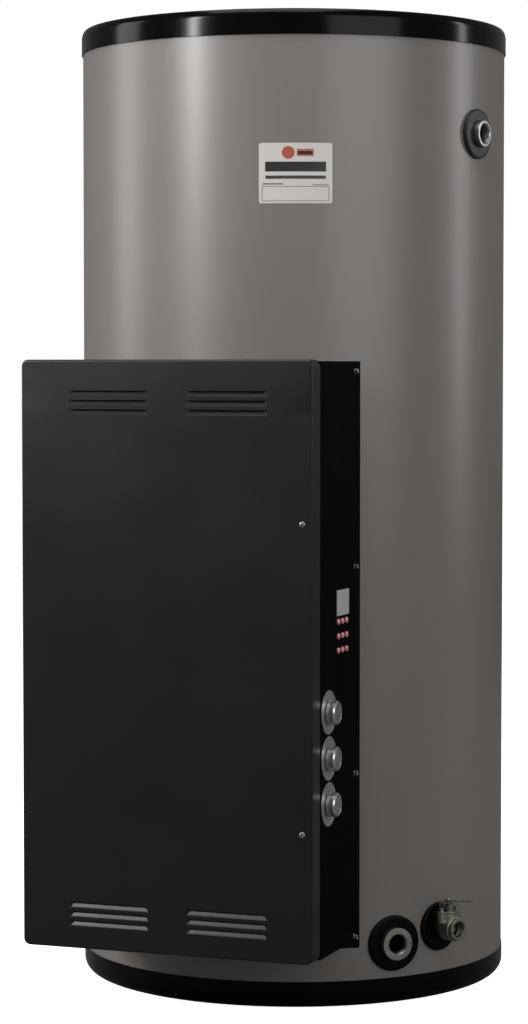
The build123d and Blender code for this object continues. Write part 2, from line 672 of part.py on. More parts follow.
def bonnet_slab(start, thickness):
    """Adds the two-eared oval of the bonnet joint, at a height above the waterway."""
    with BuildSketch(VALVE_LEVEL.offset(start)) as oval:
        SlotCenterToCenter(BONNET_EAR_SPACING, BONNET_WIDTH)
        Circle(GLAND_DIAMETER)
    extrude(oval.sketch, amount=thickness)


with BuildPart() as drain_valve_body:
    valve_sphere(BALL_HOUSING_DIAMETER / 2)
    valve_bar(-SPIGOT_REACH, BALL_CENTRE, SPIGOT_DIAMETER)
    valve_bar(BALL_CENTRE, VALVE_COLLAR_END, VALVE_COLLAR_DIAMETER)
    valve_bar(VALVE_COLLAR_END, VALVE_OUTLET_END, VALVE_OUTLET_DIAMETER)
    bonnet_slab(BALL_HOUSING_DIAMETER / 4, BONNET_SEAT - BALL_HOUSING_DIAMETER / 4)
    valve_sphere(BALL_DIAMETER / 2 + BALL_GAP, Mode.SUBTRACT)
    valve_bar(-SPIGOT_REACH, VALVE_OUTLET_END, WATERWAY_DIAMETER, Mode.SUBTRACT)
    valve_bar(VALVE_OUTLET_END - DRAIN_THREAD_LENGTH, VALVE_OUTLET_END, DRAIN_THREAD_DIAMETER, Mode.SUBTRACT)
    with BuildSketch(VALVE_LEVEL.offset(BONNET_SEAT)):
        Circle(STEM_DIAMETER / 2 + RUNNING_FIT)
    extrude(amount=BALL_FLAT - BONNET_SEAT - BALL_GAP, mode=Mode.SUBTRACT)
    with BuildSketch(VALVE_LEVEL.offset(BONNET_SEAT)):
        with GridLocations(BONNET_EAR_SPACING, 0, 2, 1):
            Circle(SCREW_DIAMETER / 2 + SCREW_CLEARANCE)
    extrude(amount=-BONNET_THICKNESS, mode=Mode.SUBTRACT)
write_piece(drain_valve_body, "drain_valve_body")

with BuildPart() as drain_bonnet:
    bonnet_slab(BONNET_SEAT, BONNET_THICKNESS)
    with BuildSketch(VALVE_LEVEL.offset(BONNET_SEAT)):
        RegularPolygon(GLAND_DIAMETER / 2, 6, major_radius=False)
    extrude(amount=BONNET_THICKNESS + GLAND_HEIGHT)
    with BuildSketch(VALVE_LEVEL.offset(BONNET_SEAT)):
        Circle(STEM_DIAMETER / 2 + RUNNING_FIT)
        with GridLocations(BONNET_EAR_SPACING, 0, 2, 1):
            Circle(SCREW_DIAMETER / 2 + SCREW_CLEARANCE)
    extrude(amount=BONNET_THICKNESS + GLAND_HEIGHT, mode=Mode.SUBTRACT)
write_piece(drain_bonnet, "drain_bonnet")

with BuildPart() as drain_bonnet_screws:
    for side in (-1, 1):
        ear = VALVE_LEVEL.offset(BONNET_SEAT + BONNET_THICKNESS).location * Location(
            (side * BONNET_EAR_SPACING / 2, 0, 0)
        )
        add_screw(Plane(ear), 2 * BONNET_THICKNESS - WELD_GAP)
write_piece(drain_bonnet_screws, "drain_bonnet_screws")

with BuildPart() as drain_ball:
    valve_sphere(BALL_DIAMETER / 2)
    with BuildSketch(VALVE_LEVEL.offset(BALL_FLAT)):
        Circle(BALL_DIAMETER)
    extrude(amount=BALL_DIAMETER, mode=Mode.SUBTRACT)
    with BuildSketch(Plane(origin=BALL_PLACE, x_dir=(0, 0, 1), z_dir=VALVE_LEVEL.x_dir)):
        Circle(WATERWAY_DIAMETER / 2)
    extrude(amount=BALL_DIAMETER, both=True, mode=Mode.SUBTRACT)
write_piece(drain_ball, "drain_ball")

with BuildPart() as drain_stem:
    with BuildSketch(VALVE_LEVEL.offset(BALL_FLAT)):
        Circle(STEM_DIAMETER / 2)
    extrude(amount=STEM_TOP - BALL_FLAT)
    chamfer(faces().sort_by(Axis.Z)[-1].edges(), LEVER_THICKNESS / 2)
    with BuildSketch(VALVE_LEVEL.offset(LEVER_HEIGHT + LEVER_THICKNESS + WELD_GAP)):
        RegularPolygon(LEVER_NUT_WIDTH / 2, 6, major_radius=False)
    extrude(amount=LEVER_NUT_HEIGHT)
write_piece(drain_stem, "drain_stem")

# The lever is a bent strip on the stem, with a stop tab that hangs down at its short end.
LEVER_SIDE = Plane(origin=BALL_PLACE, x_dir=VALVE_LEVEL.x_dir, z_dir=outward(DRAIN_BEARING))

with BuildPart() as drain_lever:
    with BuildSketch(LEVER_SIDE):
        with BuildLine():
            FilletPolyline(
                (LEVER_REACH, LEVER_HEIGHT - LEVER_DROOP),
                (LEVER_HUB, LEVER_HEIGHT),
                (-LEVER_TAB_REACH, LEVER_HEIGHT),
                (-LEVER_TAB_REACH, LEVER_HEIGHT - LEVER_TAB_DROP),
                radius=LEVER_THICKNESS,
            )
            offset(amount=LEVER_THICKNESS, side=Side.RIGHT, closed=True)
        make_face()
    extrude(amount=LEVER_WIDTH / 2, both=True)
    with BuildSketch(VALVE_LEVEL.offset(LEVER_HEIGHT)):
        Circle(STEM_DIAMETER / 2 + WELD_GAP)
    extrude(amount=LEVER_WIDTH, both=True, mode=Mode.SUBTRACT)
write_piece(drain_lever, "drain_lever")

# ---- Heating elements ----


def at_each_element(start, end, diameter, mode=Mode.ADD):
    """Adds or cuts a round bar on the axis of each element flange."""
    for height in ELEMENT_HEIGHTS:
        radial_bar(0, height, start, end, diameter, mode)


def at_flange_bolts(start, end, radius, sides, mode=Mode.ADD):
    """Adds or cuts a prism at every flange bolt: a circle where sides is 0, or else a hexagon."""
    for height in ELEMENT_HEIGHTS:
        with BuildSketch(Plane.XZ.offset(start)) as pattern:
            with Locations((0, height)):
                with PolarLocations(FLANGE_BOLT_CIRCLE / 2, FLANGE_BOLT_COUNT):
                    if sides:
                        RegularPolygon(radius, sides, major_radius=False)
                    else:
                        Circle(radius)
        extrude(pattern.sketch, amount=end - start, mode=mode)


BOLT_HOLE_RADIUS = FLANGE_BOLT_DIAMETER / 2 + SCREW_CLEARANCE

with BuildPart() as element_necks:
    at_each_element(TANK_INSIDE - FITTING_REACH, RING_END, NECK_DIAMETER)
    at_each_element(RING_START, RING_END, FLANGE_DIAMETER)
    at_each_element(TANK_INSIDE / 2, RING_END, NECK_BORE, Mode.SUBTRACT)
    at_flange_bolts(RING_START, RING_END, BOLT_HOLE_RADIUS, 0, Mode.SUBTRACT)
write_piece(element_necks, "element_necks")

with BuildPart() as element_gaskets:
    at_each_element(RING_END, FLANGE_START, FLANGE_DIAMETER)
    at_each_element(RING_END, FLANGE_START, NECK_BORE, Mode.SUBTRACT)
    at_flange_bolts(RING_END, FLANGE_START, BOLT_HOLE_RADIUS, 0, Mode.SUBTRACT)
write_piece(element_gaskets, "element_gaskets")

HAIRPIN_SIDES = [(place - (HAIRPIN_COUNT - 1) / 2) * HAIRPIN_SPACING for place in range(HAIRPIN_COUNT)]

with BuildPart() as element_flanges:
    at_each_element(FLANGE_START, FLANGE_END, FLANGE_DIAMETER)
    at_flange_bolts(FLANGE_START, FLANGE_END, BOLT_HOLE_RADIUS, 0, Mode.SUBTRACT)
    for element_height in ELEMENT_HEIGHTS:
        with BuildSketch(Plane.XZ.offset(FLANGE_START)):
            with Locations((0, element_height)):
                with GridLocations(HAIRPIN_SPACING, HAIRPIN_LEG_SPACING, HAIRPIN_COUNT, 2):
                    Circle(HAIRPIN_DIAMETER / 2 + WELD_GAP)
        extrude(amount=FLANGE_THICKNESS, mode=Mode.SUBTRACT)
write_piece(element_flanges, "element_flanges")

with BuildPart() as element_flange_bolts:
    at_flange_bolts(RING_START, FLANGE_END, FLANGE_BOLT_DIAMETER / 2, 0)
    at_flange_bolts(FLANGE_END, FLANGE_END + FLANGE_BOLT_HEAD_HEIGHT, FLANGE_BOLT_HEAD_WIDTH / 2, 6)
write_piece(element_flange_bolts, "element_flange_bolts")

# Each hairpin is one bent tube, with a terminal pin in front of the flange on each leg.
with BuildPart() as heating_elements:
    for element_height in ELEMENT_HEIGHTS:
        for hairpin_side in HAIRPIN_SIDES:
            top = element_height + HAIRPIN_LEG_SPACING / 2
            bottom = element_height - HAIRPIN_LEG_SPACING / 2
            bend = -(FLANGE_START - HAIRPIN_LENGTH)
            with BuildLine(Plane.YZ.offset(hairpin_side)) as hairpin:
                Line((-FLANGE_END, top), (bend, top))
                CenterArc((bend, element_height), HAIRPIN_LEG_SPACING / 2, start_angle=90, arc_size=-180)
                Line((bend, bottom), (-FLANGE_END, bottom))
            with BuildSketch(Plane.XZ.offset(FLANGE_END)):
                with Locations((hairpin_side, top)):
                    Circle(HAIRPIN_DIAMETER / 2)
            sweep(path=hairpin.wire())
            with BuildSketch(Plane.XZ.offset(FLANGE_END)):
                with Locations((hairpin_side, top), (hairpin_side, bottom)):
                    Circle(TERMINAL_DIAMETER / 2)
            extrude(amount=TERMINAL_LENGTH)
write_piece(heating_elements, "heating_elements")

# ---- Control cabinet ----


def side_panel(side):
    """Adds a side panel with its front flange; its lower rear corner runs down past the cabinet's floor."""
    with BuildSketch(Plane.YZ.offset(side * CABINET_HALF)) as outline:
        with BuildLine():
            Polyline(
                (-CABINET_FRONT, CABINET_BOTTOM),
                (-CABINET_FRONT, CABINET_TOP),
                (-CABINET_REAR, CABINET_TOP),
                (-CABINET_REAR, REAR_BOTTOM),
                (-(CABINET_FRONT - BOTTOM_KINK), CABINET_BOTTOM),
                close=True,
            )
        make_face()
    extrude(outline.sketch, amount=-side * CABINET_SHEET)
    front_box(
        side * (CABINET_HALF - (FRONT_FLANGE + CABINET_SHEET) / 2),
        (CABINET_TOP + CABINET_BOTTOM) / 2,
        CABINET_FRONT - CABINET_SHEET,
        CABINET_FRONT,
        FRONT_FLANGE + CABINET_SHEET,
        CABINET_TOP - CABINET_BOTTOM - 2 * FLANGE_END_GAP,
    )
    for height in PANEL_SCREW_HEIGHTS:
        side_bar(
            -PANEL_SCREW_Y,
            height,
            side * (CABINET_INSIDE - CABINET_SHEET),
            side * (CABINET_HALF + CABINET_SHEET),
            SCREW_DIAMETER + 2 * SCREW_CLEARANCE,
            Mode.SUBTRACT,
        )


with BuildPart() as left_side_panel:
    side_panel(-1)
write_piece(left_side_panel, "left_side_panel")

with BuildPart() as control_side_panel:
    side_panel(1)
    with BuildSketch(Plane.XZ.offset(CABINET_FRONT - CABINET_SHEET)):
        with Locations(*((DOOR_SCREW_X, height) for height in DOOR_SCREW_HEIGHTS)):
            Circle(DOOR_SCREW_DIAMETER / 2 + DOOR_SCREW_HOLE_GAP)
    extrude(amount=CABINET_SHEET, mode=Mode.SUBTRACT)
    with BuildSketch(Plane.YZ.offset(CABINET_INSIDE)):
        with Locations((-DISPLAY_DEPTH_PLACE, DISPLAY_HEIGHT_PLACE)):
            RectangleRounded(
                DISPLAY_WIDTH + 2 * DISPLAY_GAP, DISPLAY_HEIGHT + 2 * DISPLAY_GAP, DISPLAY_CORNER
            )
        with Locations(*LAMP_PLACES):
            Circle(LAMP_BODY_DIAMETER / 2 + LAMP_GAP)
        with Locations(*((-DIAL_DEPTH_PLACE, height) for height in DIAL_HEIGHTS)):
            Circle(SPINDLE_DIAMETER / 2 + DIAL_HOLE_GAP)
    extrude(amount=CABINET_SHEET, mode=Mode.SUBTRACT)
write_piece(control_side_panel, "control_side_panel")

with BuildPart() as cabinet_back:
    back_half = CABINET_INSIDE - PANEL_GAP
    back_top = CABINET_TOP - CABINET_SHEET
    back_bottom = REAR_BOTTOM + CABINET_SHEET + FLOOR_GAP
    back_middle = (back_top + back_bottom) / 2
    front_box(0, back_middle, CABINET_REAR, BACK_FACE, 2 * back_half, back_top - back_bottom)
    for side in (-1, 1):
        front_box(
            side * (back_half - CABINET_SHEET / 2),
            (back_top + CABINET_BOTTOM + CABINET_SHEET) / 2,
            CABINET_REAR,
            CABINET_REAR + BACK_FLANGE,
            CABINET_SHEET,
            back_top - CABINET_BOTTOM - CABINET_SHEET,
        )
        for height in PANEL_SCREW_HEIGHTS:
            side_bar(
                -PANEL_SCREW_Y,
                height,
                side * (back_half - 2 * CABINET_SHEET),
                side * (back_half + CABINET_SHEET),
                SCREW_DIAMETER + 2 * SCREW_CLEARANCE,
                Mode.SUBTRACT,
            )
    at_each_element(CABINET_REAR, BACK_FACE, NECK_DIAMETER + 2 * JACKET_HOLE_GAP, Mode.SUBTRACT)
write_piece(cabinet_back, "cabinet_back")

with BuildPart() as cabinet_top:
    top_front = CABINET_FRONT - CABINET_SHEET - PANEL_GAP
    front_box(
        0,
        CABINET_TOP - CABINET_SHEET / 2,
        CABINET_REAR,
        top_front,
        2 * (CABINET_INSIDE - PANEL_GAP),
        CABINET_SHEET,
    )
    front_box(
        0,
        CABINET_TOP - FRONT_FLANGE / 2,
        top_front - CABINET_SHEET,
        top_front,
        2 * (CABINET_INSIDE - PANEL_GAP),
        FRONT_FLANGE,
    )
    with BuildSketch(Plane.XY.offset(CABINET_TOP)):
        with Locations((CONDUIT_SIDE, -(CABINET_REAR + CABINET_DEPTH / 2))):
            Circle(CONDUIT_HOLE / 2)
    extrude(amount=-CABINET_SHEET, mode=Mode.SUBTRACT)
write_piece(cabinet_top, "cabinet_top")

# The floor is level from the front to the kink of the side panels, and then falls to their lower rear
# corner.
with BuildPart() as cabinet_bottom:
    with BuildSketch(Plane.YZ.offset(-CABINET_INSIDE + PANEL_GAP)):
        with BuildLine():
            Polyline(
                (-top_front, CABINET_BOTTOM),
                (-(CABINET_FRONT - BOTTOM_KINK), CABINET_BOTTOM),
                (-CABINET_REAR, REAR_BOTTOM),
                (-CABINET_REAR, REAR_BOTTOM + CABINET_SHEET),
                (-(CABINET_FRONT - BOTTOM_KINK), CABINET_BOTTOM + CABINET_SHEET),
                (-top_front, CABINET_BOTTOM + CABINET_SHEET),
                close=True,
            )
        make_face()
    extrude(amount=2 * (CABINET_INSIDE - PANEL_GAP))
write_piece(cabinet_bottom, "cabinet_bottom")

# Two upright channels carry the cabinet off the jacket; their legs are cut to its curve.
with BuildPart() as cabinet_brackets:
    bracket_low, bracket_high = BRACKET_HEIGHTS
    for side in (-1, 1):
        bracket_middle = (bracket_low + bracket_high) / 2
        front_box(
            side * BRACKET_OFFSET, bracket_middle, 0, CABINET_REAR, BRACKET_WIDTH, bracket_high - bracket_low
        )
        front_box(
            side * BRACKET_OFFSET,
            bracket_middle,
            0,
            CABINET_REAR - CABINET_SHEET,
            BRACKET_WIDTH - 2 * CABINET_SHEET,
            bracket_high - bracket_low,
            Mode.SUBTRACT,
        )
    with BuildSketch(Plane.XY):
        Circle(JACKET_RADIUS + LAP_GAP)
    extrude(amount=OVERALL_HEIGHT, mode=Mode.SUBTRACT)
write_piece(cabinet_brackets, "cabinet_brackets")

with BuildPart() as side_panel_screws:
    for side in (-1, 1):
        for height in PANEL_SCREW_HEIGHTS:
            add_screw(
                Plane(origin=(side * CABINET_HALF, PANEL_SCREW_Y, height), z_dir=(side, 0, 0)),
                PANEL_SCREW_LENGTH,
            )
write_piece(side_panel_screws, "side_panel_screws")

# ---- Door ----

# A louvre is pressed inwards: its flap slopes back from the bottom of the opening and leaves a slot along
# the top.


def louvre_wedge(wall):
    """The wedge under a louvre's flap, or with a wall's thickness added at its sides and bottom."""
    with BuildPart() as wedge:
        with BuildSketch(Plane.XZ.offset(DOOR_FACE)):
            with Locations((0, -wall / 2)):
                Rectangle(LOUVRE_LENGTH + 2 * wall, LOUVRE_HEIGHT + wall)
        with BuildSketch(Plane.XZ.offset(DOOR_FACE - LOUVRE_DEPTH - wall)):
            with Locations((0, (LOUVRE_HEIGHT - LOUVRE_LIP - wall) / 2)):
                Rectangle(LOUVRE_LENGTH - 2 * LOUVRE_END + 2 * wall, LOUVRE_LIP + wall)
        loft(ruled=True)
    return wedge.part


LOUVRE_ROW_HEIGHTS = [
    *(DOOR_TOP - LOUVRE_TOP_MARGIN - row * LOUVRE_PITCH - LOUVRE_HEIGHT / 2 for row in range(LOUVRE_ROWS)),
    *(
        DOOR_BOTTOM + LOUVRE_BOTTOM_MARGIN + row * LOUVRE_PITCH - LOUVRE_HEIGHT / 2
        for row in range(LOUVRE_ROWS)
    ),
]
LOUVRE_PLACES = [(side, 0, height) for side in LOUVRE_SIDES for height in LOUVRE_ROW_HEIGHTS]
louvre_flap = louvre_wedge(DOOR_SHEET)
louvre_opening = louvre_wedge(0)

with BuildPart() as door_panel:
    with BuildSketch(Plane.XZ.offset(DOOR_REAR)):
        with Locations((0, DOOR_MIDDLE)):
            RectangleRounded(CABINET_WIDTH, DOOR_TOP - DOOR_BOTTOM, DOOR_CORNER)
    extrude(amount=DOOR_DEPTH)
    fillet(faces().sort_by(Axis.Y)[0].edges(), DOOR_EDGE)
    with BuildSketch(Plane.XZ.offset(DOOR_REAR)):
        with Locations((0, DOOR_MIDDLE)):
            RectangleRounded(
                CABINET_WIDTH - 2 * DOOR_SHEET,
                DOOR_TOP - DOOR_BOTTOM - 2 * DOOR_SHEET,
                DOOR_CORNER - DOOR_SHEET,
            )
    extrude(amount=DOOR_DEPTH - DOOR_SHEET, mode=Mode.SUBTRACT)
    with Locations(*LOUVRE_PLACES):
        add(louvre_flap)
    with Locations(*LOUVRE_PLACES):
        add(louvre_opening, mode=Mode.SUBTRACT)
    for side in (-1, 1):
        for corner_height in (DOOR_TOP - RELIEF_HEIGHT / 2, DOOR_BOTTOM + RELIEF_HEIGHT / 2):
            front_box(
                side * (CABINET_HALF - RELIEF_HEIGHT / 2),
                corner_height,
                DOOR_REAR,
                DOOR_REAR + RELIEF_DEPTH,
                RELIEF_HEIGHT,
                RELIEF_HEIGHT,
                Mode.SUBTRACT,
            )
    with BuildSketch(Plane.XZ.offset(DOOR_REAR)):
        with Locations(*((DOOR_SCREW_X, height) for height in DOOR_SCREW_HEIGHTS)):
            Circle(DOOR_SCREW_DIAMETER / 2 + SCREW_CLEARANCE)
    extrude(amount=DOOR_DEPTH, mode=Mode.SUBTRACT)
write_piece(door_panel, "door_panel")

# The captive screws run back from the door's face through the flange of the control side panel.
with BuildPart() as door_screws:
    with BuildSketch(Plane.XZ.offset(CABINET_FRONT - DOOR_SCREW_PAST)):
        with Locations(*((DOOR_SCREW_X, height) for height in DOOR_SCREW_HEIGHTS)):
            Circle(DOOR_SCREW_DIAMETER / 2)
    extrude(amount=DOOR_FACE - CABINET_FRONT + DOOR_SCREW_PAST)
    with BuildSketch(Plane.XZ.offset(DOOR_FACE)):
        with Locations(*((DOOR_SCREW_X, height) for height in DOOR_SCREW_HEIGHTS)):
            Circle(DOOR_SCREW_HEAD / 2)
    extrude(amount=DOOR_SCREW_HEAD_HEIGHT)
    chamfer(edges().filter_by(GeomType.CIRCLE).group_by(Axis.Y)[0], DOOR_SCREW_HEAD_HEIGHT / 3)
write_piece(door_screws, "door_screws")

# ---- Hinges on the door's left edge: the door's knuckle lies between the cabinet's two ----

KNUCKLE_LENGTH = (HINGE_LENGTH - 2 * KNUCKLE_GAP) / 3


def hinge_leaf(direction, spans):
    """Adds a leaf along the cabinet's outside from the pin's line, with its knuckles over height spans."""
    for hinge_height in HINGE_HEIGHTS:
        with BuildSketch(Plane.YZ.offset(-CABINET_HALF)) as leaf:
            with Locations((KNUCKLE_Y + direction * (KNUCKLE_DIAMETER + HINGE_LEAF) / 2, hinge_height)):
                Rectangle(HINGE_LEAF - KNUCKLE_DIAMETER, HINGE_LENGTH)
        extrude(leaf.sketch, amount=-HINGE_LEAF_SHEET)
        for low, high in spans:
            with BuildSketch(Plane.XY.offset(hinge_height + low)) as knuckle:
                with Locations((KNUCKLE_X, KNUCKLE_Y)):
                    Circle(KNUCKLE_DIAMETER / 2)
                with Locations(
                    (-CABINET_HALF - HINGE_LEAF_SHEET / 2, KNUCKLE_Y + direction * KNUCKLE_DIAMETER)
                ):
                    Rectangle(HINGE_LEAF_SHEET, 2 * KNUCKLE_DIAMETER)
                with Locations((KNUCKLE_X, KNUCKLE_Y)):
                    Circle(HINGE_PIN_DIAMETER / 2 + RUNNING_FIT, mode=Mode.SUBTRACT)
            extrude(knuckle.sketch, amount=high - low)


with BuildPart() as hinge_cabinet_leaves:
    knuckle_end = HINGE_LENGTH / 2 - KNUCKLE_LENGTH
    hinge_leaf(1, ((-HINGE_LENGTH / 2, -knuckle_end), (knuckle_end, HINGE_LENGTH / 2)))
write_piece(hinge_cabinet_leaves, "hinge_cabinet_leaves")

with BuildPart() as hinge_door_leaves:
    hinge_leaf(-1, ((-KNUCKLE_LENGTH / 2, KNUCKLE_LENGTH / 2),))
write_piece(hinge_door_leaves, "hinge_door_leaves")

with BuildPart() as hinge_pins:
    for hinge_height in HINGE_HEIGHTS:
        with BuildSketch(Plane.XY.offset(hinge_height - HINGE_LENGTH / 2)):
            with Locations((KNUCKLE_X, KNUCKLE_Y)):
                Circle(HINGE_PIN_DIAMETER / 2)
        extrude(amount=HINGE_LENGTH + KNUCKLE_GAP)
        with BuildSketch(Plane.XY.offset(hinge_height + HINGE_LENGTH / 2 + KNUCKLE_GAP)):
            with Locations((KNUCKLE_X, KNUCKLE_Y)):
                Circle(KNUCKLE_DIAMETER / 2)
        extrude(amount=HINGE_PIN_HEAD)
write_piece(hinge_pins, "hinge_pins")

# ---- Controls on the right side panel ----

with BuildPart() as display_lens:
    with BuildSketch(Plane.YZ.offset(CABINET_INSIDE)):
        with Locations((-DISPLAY_DEPTH_PLACE, DISPLAY_HEIGHT_PLACE)):
            RectangleRounded(DISPLAY_WIDTH, DISPLAY_HEIGHT, DISPLAY_CORNER)
    extrude(amount=CABINET_SHEET + DISPLAY_PROUD)
write_piece(display_lens, "display_lens")

with BuildPart() as display_module:
    with BuildSketch(Plane.YZ.offset(CABINET_INSIDE)):
        with Locations((-DISPLAY_DEPTH_PLACE, DISPLAY_HEIGHT_PLACE)):
            Rectangle(MODULE_WIDTH, MODULE_HEIGHT)
    extrude(amount=-MODULE_DEPTH)
    chamfer(faces().sort_by(Axis.X)[0].edges(), DISPLAY_CORNER)
write_piece(display_module, "display_module")

with BuildPart() as indicator_lamps:
    with BuildSketch(Plane.YZ.offset(CABINET_HALF)):
        with Locations(*LAMP_PLACES):
            Circle(LAMP_DIAMETER / 2)
    extrude(amount=LAMP_PROUD)
    fillet(edges().filter_by(GeomType.CIRCLE).group_by(Axis.X)[-1], LAMP_DOME)
    with BuildSketch(Plane.YZ.offset(CABINET_HALF)):
        with Locations(*LAMP_PLACES):
            Circle(LAMP_BODY_DIAMETER / 2)
    extrude(amount=-LAMP_BODY_LENGTH)
write_piece(indicator_lamps, "indicator_lamps")

with BuildPart() as dial_plates:
    with BuildSketch(Plane.YZ.offset(CABINET_HALF)):
        with Locations(*((-DIAL_DEPTH_PLACE, height) for height in DIAL_HEIGHTS)):
            Circle(DIAL_PLATE_DIAMETER / 2)
            Circle(SPINDLE_DIAMETER / 2 + DIAL_HOLE_GAP, mode=Mode.SUBTRACT)
    extrude(amount=DIAL_PLATE_THICKNESS)
write_piece(dial_plates, "dial_plates")

with BuildPart() as thermostat_bodies:
    with BuildSketch(Plane.YZ.offset(CABINET_INSIDE)):
        with Locations(*((-DIAL_DEPTH_PLACE, height) for height in DIAL_HEIGHTS)):
            Circle(THERMOSTAT_DIAMETER / 2)
    extrude(amount=-THERMOSTAT_DEPTH)
    chamfer(edges().filter_by(GeomType.CIRCLE).group_by(Axis.X)[0], THERMOSTAT_EDGE)
    with BuildSketch(Plane.YZ.offset(CABINET_INSIDE)):
        with Locations(*((-DIAL_DEPTH_PLACE, height) for height in DIAL_HEIGHTS)):
            Circle(SPINDLE_DIAMETER / 2 + RUNNING_FIT)
    extrude(amount=-SPINDLE_IN_BODY - RUNNING_FIT, mode=Mode.SUBTRACT)
write_piece(thermostat_bodies, "thermostat_bodies")

for number, dial_height in enumerate(DIAL_HEIGHTS, start=1):
    with BuildPart() as dial_knob:
        side_bar(DIAL_DEPTH_PLACE, dial_height, KNOB_BASE, KNOB_BASE + KNOB_HEIGHT, KNOB_DIAMETER)
        chamfer(faces().sort_by(Axis.X)[-1].edges(), KNOB_EDGE)
        side_bar(
            DIAL_DEPTH_PLACE,
            dial_height,
            KNOB_BASE,
            KNOB_BASE + SPINDLE_IN_KNOB,
            SPINDLE_DIAMETER + 2 * RUNNING_FIT,
            Mode.SUBTRACT,
        )
    write_piece(dial_knob, f"dial_knob_{number}")

    with BuildPart() as dial_spindle:
        side_bar(
            DIAL_DEPTH_PLACE,
            dial_height,
            CABINET_INSIDE - SPINDLE_IN_BODY,
            KNOB_BASE + SPINDLE_IN_KNOB,
            SPINDLE_DIAMETER,
        )
    write_piece(dial_spindle, f"dial_spindle_{number}")

# ---- Parts on the cabinet's back plate ----

CONTACTOR_FACE = BACK_FACE + CONTACTOR_DEPTH
ARMATURE_BACK = CONTACTOR_FACE + ARMATURE_PROUD - ARMATURE_DEPTH
ARMATURE_ROOM = ARMATURE_TRAVEL + ARMATURE_GAP

with BuildPart() as contactor_housings:
    for contactor_side in CONTACTOR_SIDES:
        front_box(
            contactor_side, CONTACTOR_MIDDLE, BACK_FACE, CONTACTOR_FACE, CONTACTOR_WIDTH, CONTACTOR_HEIGHT
        )
    chamfer(faces().filter_by(Axis.Y).group_by(Axis.Y)[0].edges(), CONTACTOR_EDGE)
    for contactor_side in CONTACTOR_SIDES:
        front_box(
            contactor_side,
            CONTACTOR_MIDDLE,
            ARMATURE_BACK - ARMATURE_ROOM,
            CONTACTOR_FACE,
            ARMATURE_WIDTH + 2 * ARMATURE_GAP,
            ARMATURE_HEIGHT + 2 * ARMATURE_GAP,
            Mode.SUBTRACT,
        )
write_piece(contactor_housings, "contactor_housings")

for number, contactor_side in enumerate(CONTACTOR_SIDES, start=1):
    with BuildPart() as contactor_armature:
        front_box(
            contactor_side,
            CONTACTOR_MIDDLE,
            ARMATURE_BACK,
            ARMATURE_BACK + ARMATURE_DEPTH,
            ARMATURE_WIDTH,
            ARMATURE_HEIGHT,
        )
        chamfer(faces().sort_by(Axis.Y)[0].edges(), ARMATURE_GAP)
    write_piece(contactor_armature, f"contactor_armature_{number}")

FUSE_AXIS = BACK_FACE + FUSE_BLOCK_DEPTH + FUSE_DIAMETER / 2 + ARMATURE_GAP
RIDGE_HEIGHTS = [
    FUSE_BLOCK_MIDDLE + side * (FUSE_LENGTH / 2 - FUSE_RIDGE_THICKNESS / 2) for side in (-1, 1)
]

with BuildPart() as fuse_blocks:
    for contactor_side in CONTACTOR_SIDES:
        front_box(
            contactor_side,
            FUSE_BLOCK_MIDDLE,
            BACK_FACE,
            BACK_FACE + FUSE_BLOCK_DEPTH,
            FUSE_BLOCK_WIDTH,
            FUSE_BLOCK_HEIGHT,
        )
        for ridge_height in RIDGE_HEIGHTS:
            front_box(
                contactor_side,
                ridge_height,
                BACK_FACE + FUSE_BLOCK_DEPTH,
                FUSE_AXIS + FUSE_RIDGE_DEPTH / 4,
                FUSE_BLOCK_WIDTH,
                FUSE_RIDGE_THICKNESS,
            )
    with BuildSketch(Plane.XY.offset(FUSE_BLOCK_MIDDLE - FUSE_BLOCK_HEIGHT / 2)):
        for contactor_side in CONTACTOR_SIDES:
            with Locations((contactor_side, -FUSE_AXIS)):
                with GridLocations(FUSE_PITCH, 0, FUSE_COUNT, 1):
                    Circle(FUSE_DIAMETER / 2 + FUSE_GAP)
    extrude(amount=FUSE_BLOCK_HEIGHT, mode=Mode.SUBTRACT)
write_piece(fuse_blocks, "fuse_blocks")

with BuildPart() as cartridge_fuses:
    with BuildSketch(Plane.XY.offset(FUSE_BLOCK_MIDDLE - FUSE_LENGTH / 2)):
        for contactor_side in CONTACTOR_SIDES:
            with Locations((contactor_side, -FUSE_AXIS)):
                with GridLocations(FUSE_PITCH, 0, FUSE_COUNT, 1):
                    Circle(FUSE_DIAMETER / 2)
    extrude(amount=FUSE_LENGTH)
    chamfer(edges().filter_by(GeomType.CIRCLE), ARMATURE_GAP)
write_piece(cartridge_fuses, "cartridge_fuses")

TERMINAL_WIDTH, TERMINAL_DEPTH, TERMINAL_HEIGHT = TERMINAL_BLOCK_SIZE

with BuildPart() as terminal_block:
    front_box(
        TERMINAL_BLOCK_SIDE,
        FUSE_BLOCK_MIDDLE,
        BACK_FACE,
        BACK_FACE + TERMINAL_DEPTH,
        TERMINAL_WIDTH,
        TERMINAL_HEIGHT,
    )
    barrier_step = (TERMINAL_WIDTH - TERMINAL_BARRIER) / (TERMINAL_BARRIER_COUNT - 1)
    for place in range(TERMINAL_BARRIER_COUNT):
        front_box(
            TERMINAL_BLOCK_SIDE - (TERMINAL_WIDTH - TERMINAL_BARRIER) / 2 + place * barrier_step,
            FUSE_BLOCK_MIDDLE,
            BACK_FACE + TERMINAL_DEPTH,
            BACK_FACE + TERMINAL_DEPTH + TERMINAL_BARRIER_RISE,
            TERMINAL_BARRIER,
            TERMINAL_HEIGHT,
        )
write_piece(terminal_block, "terminal_block")

LIMIT_FACE = BACK_FACE + LIMIT_DEPTH + LIMIT_COLLAR_HEIGHT

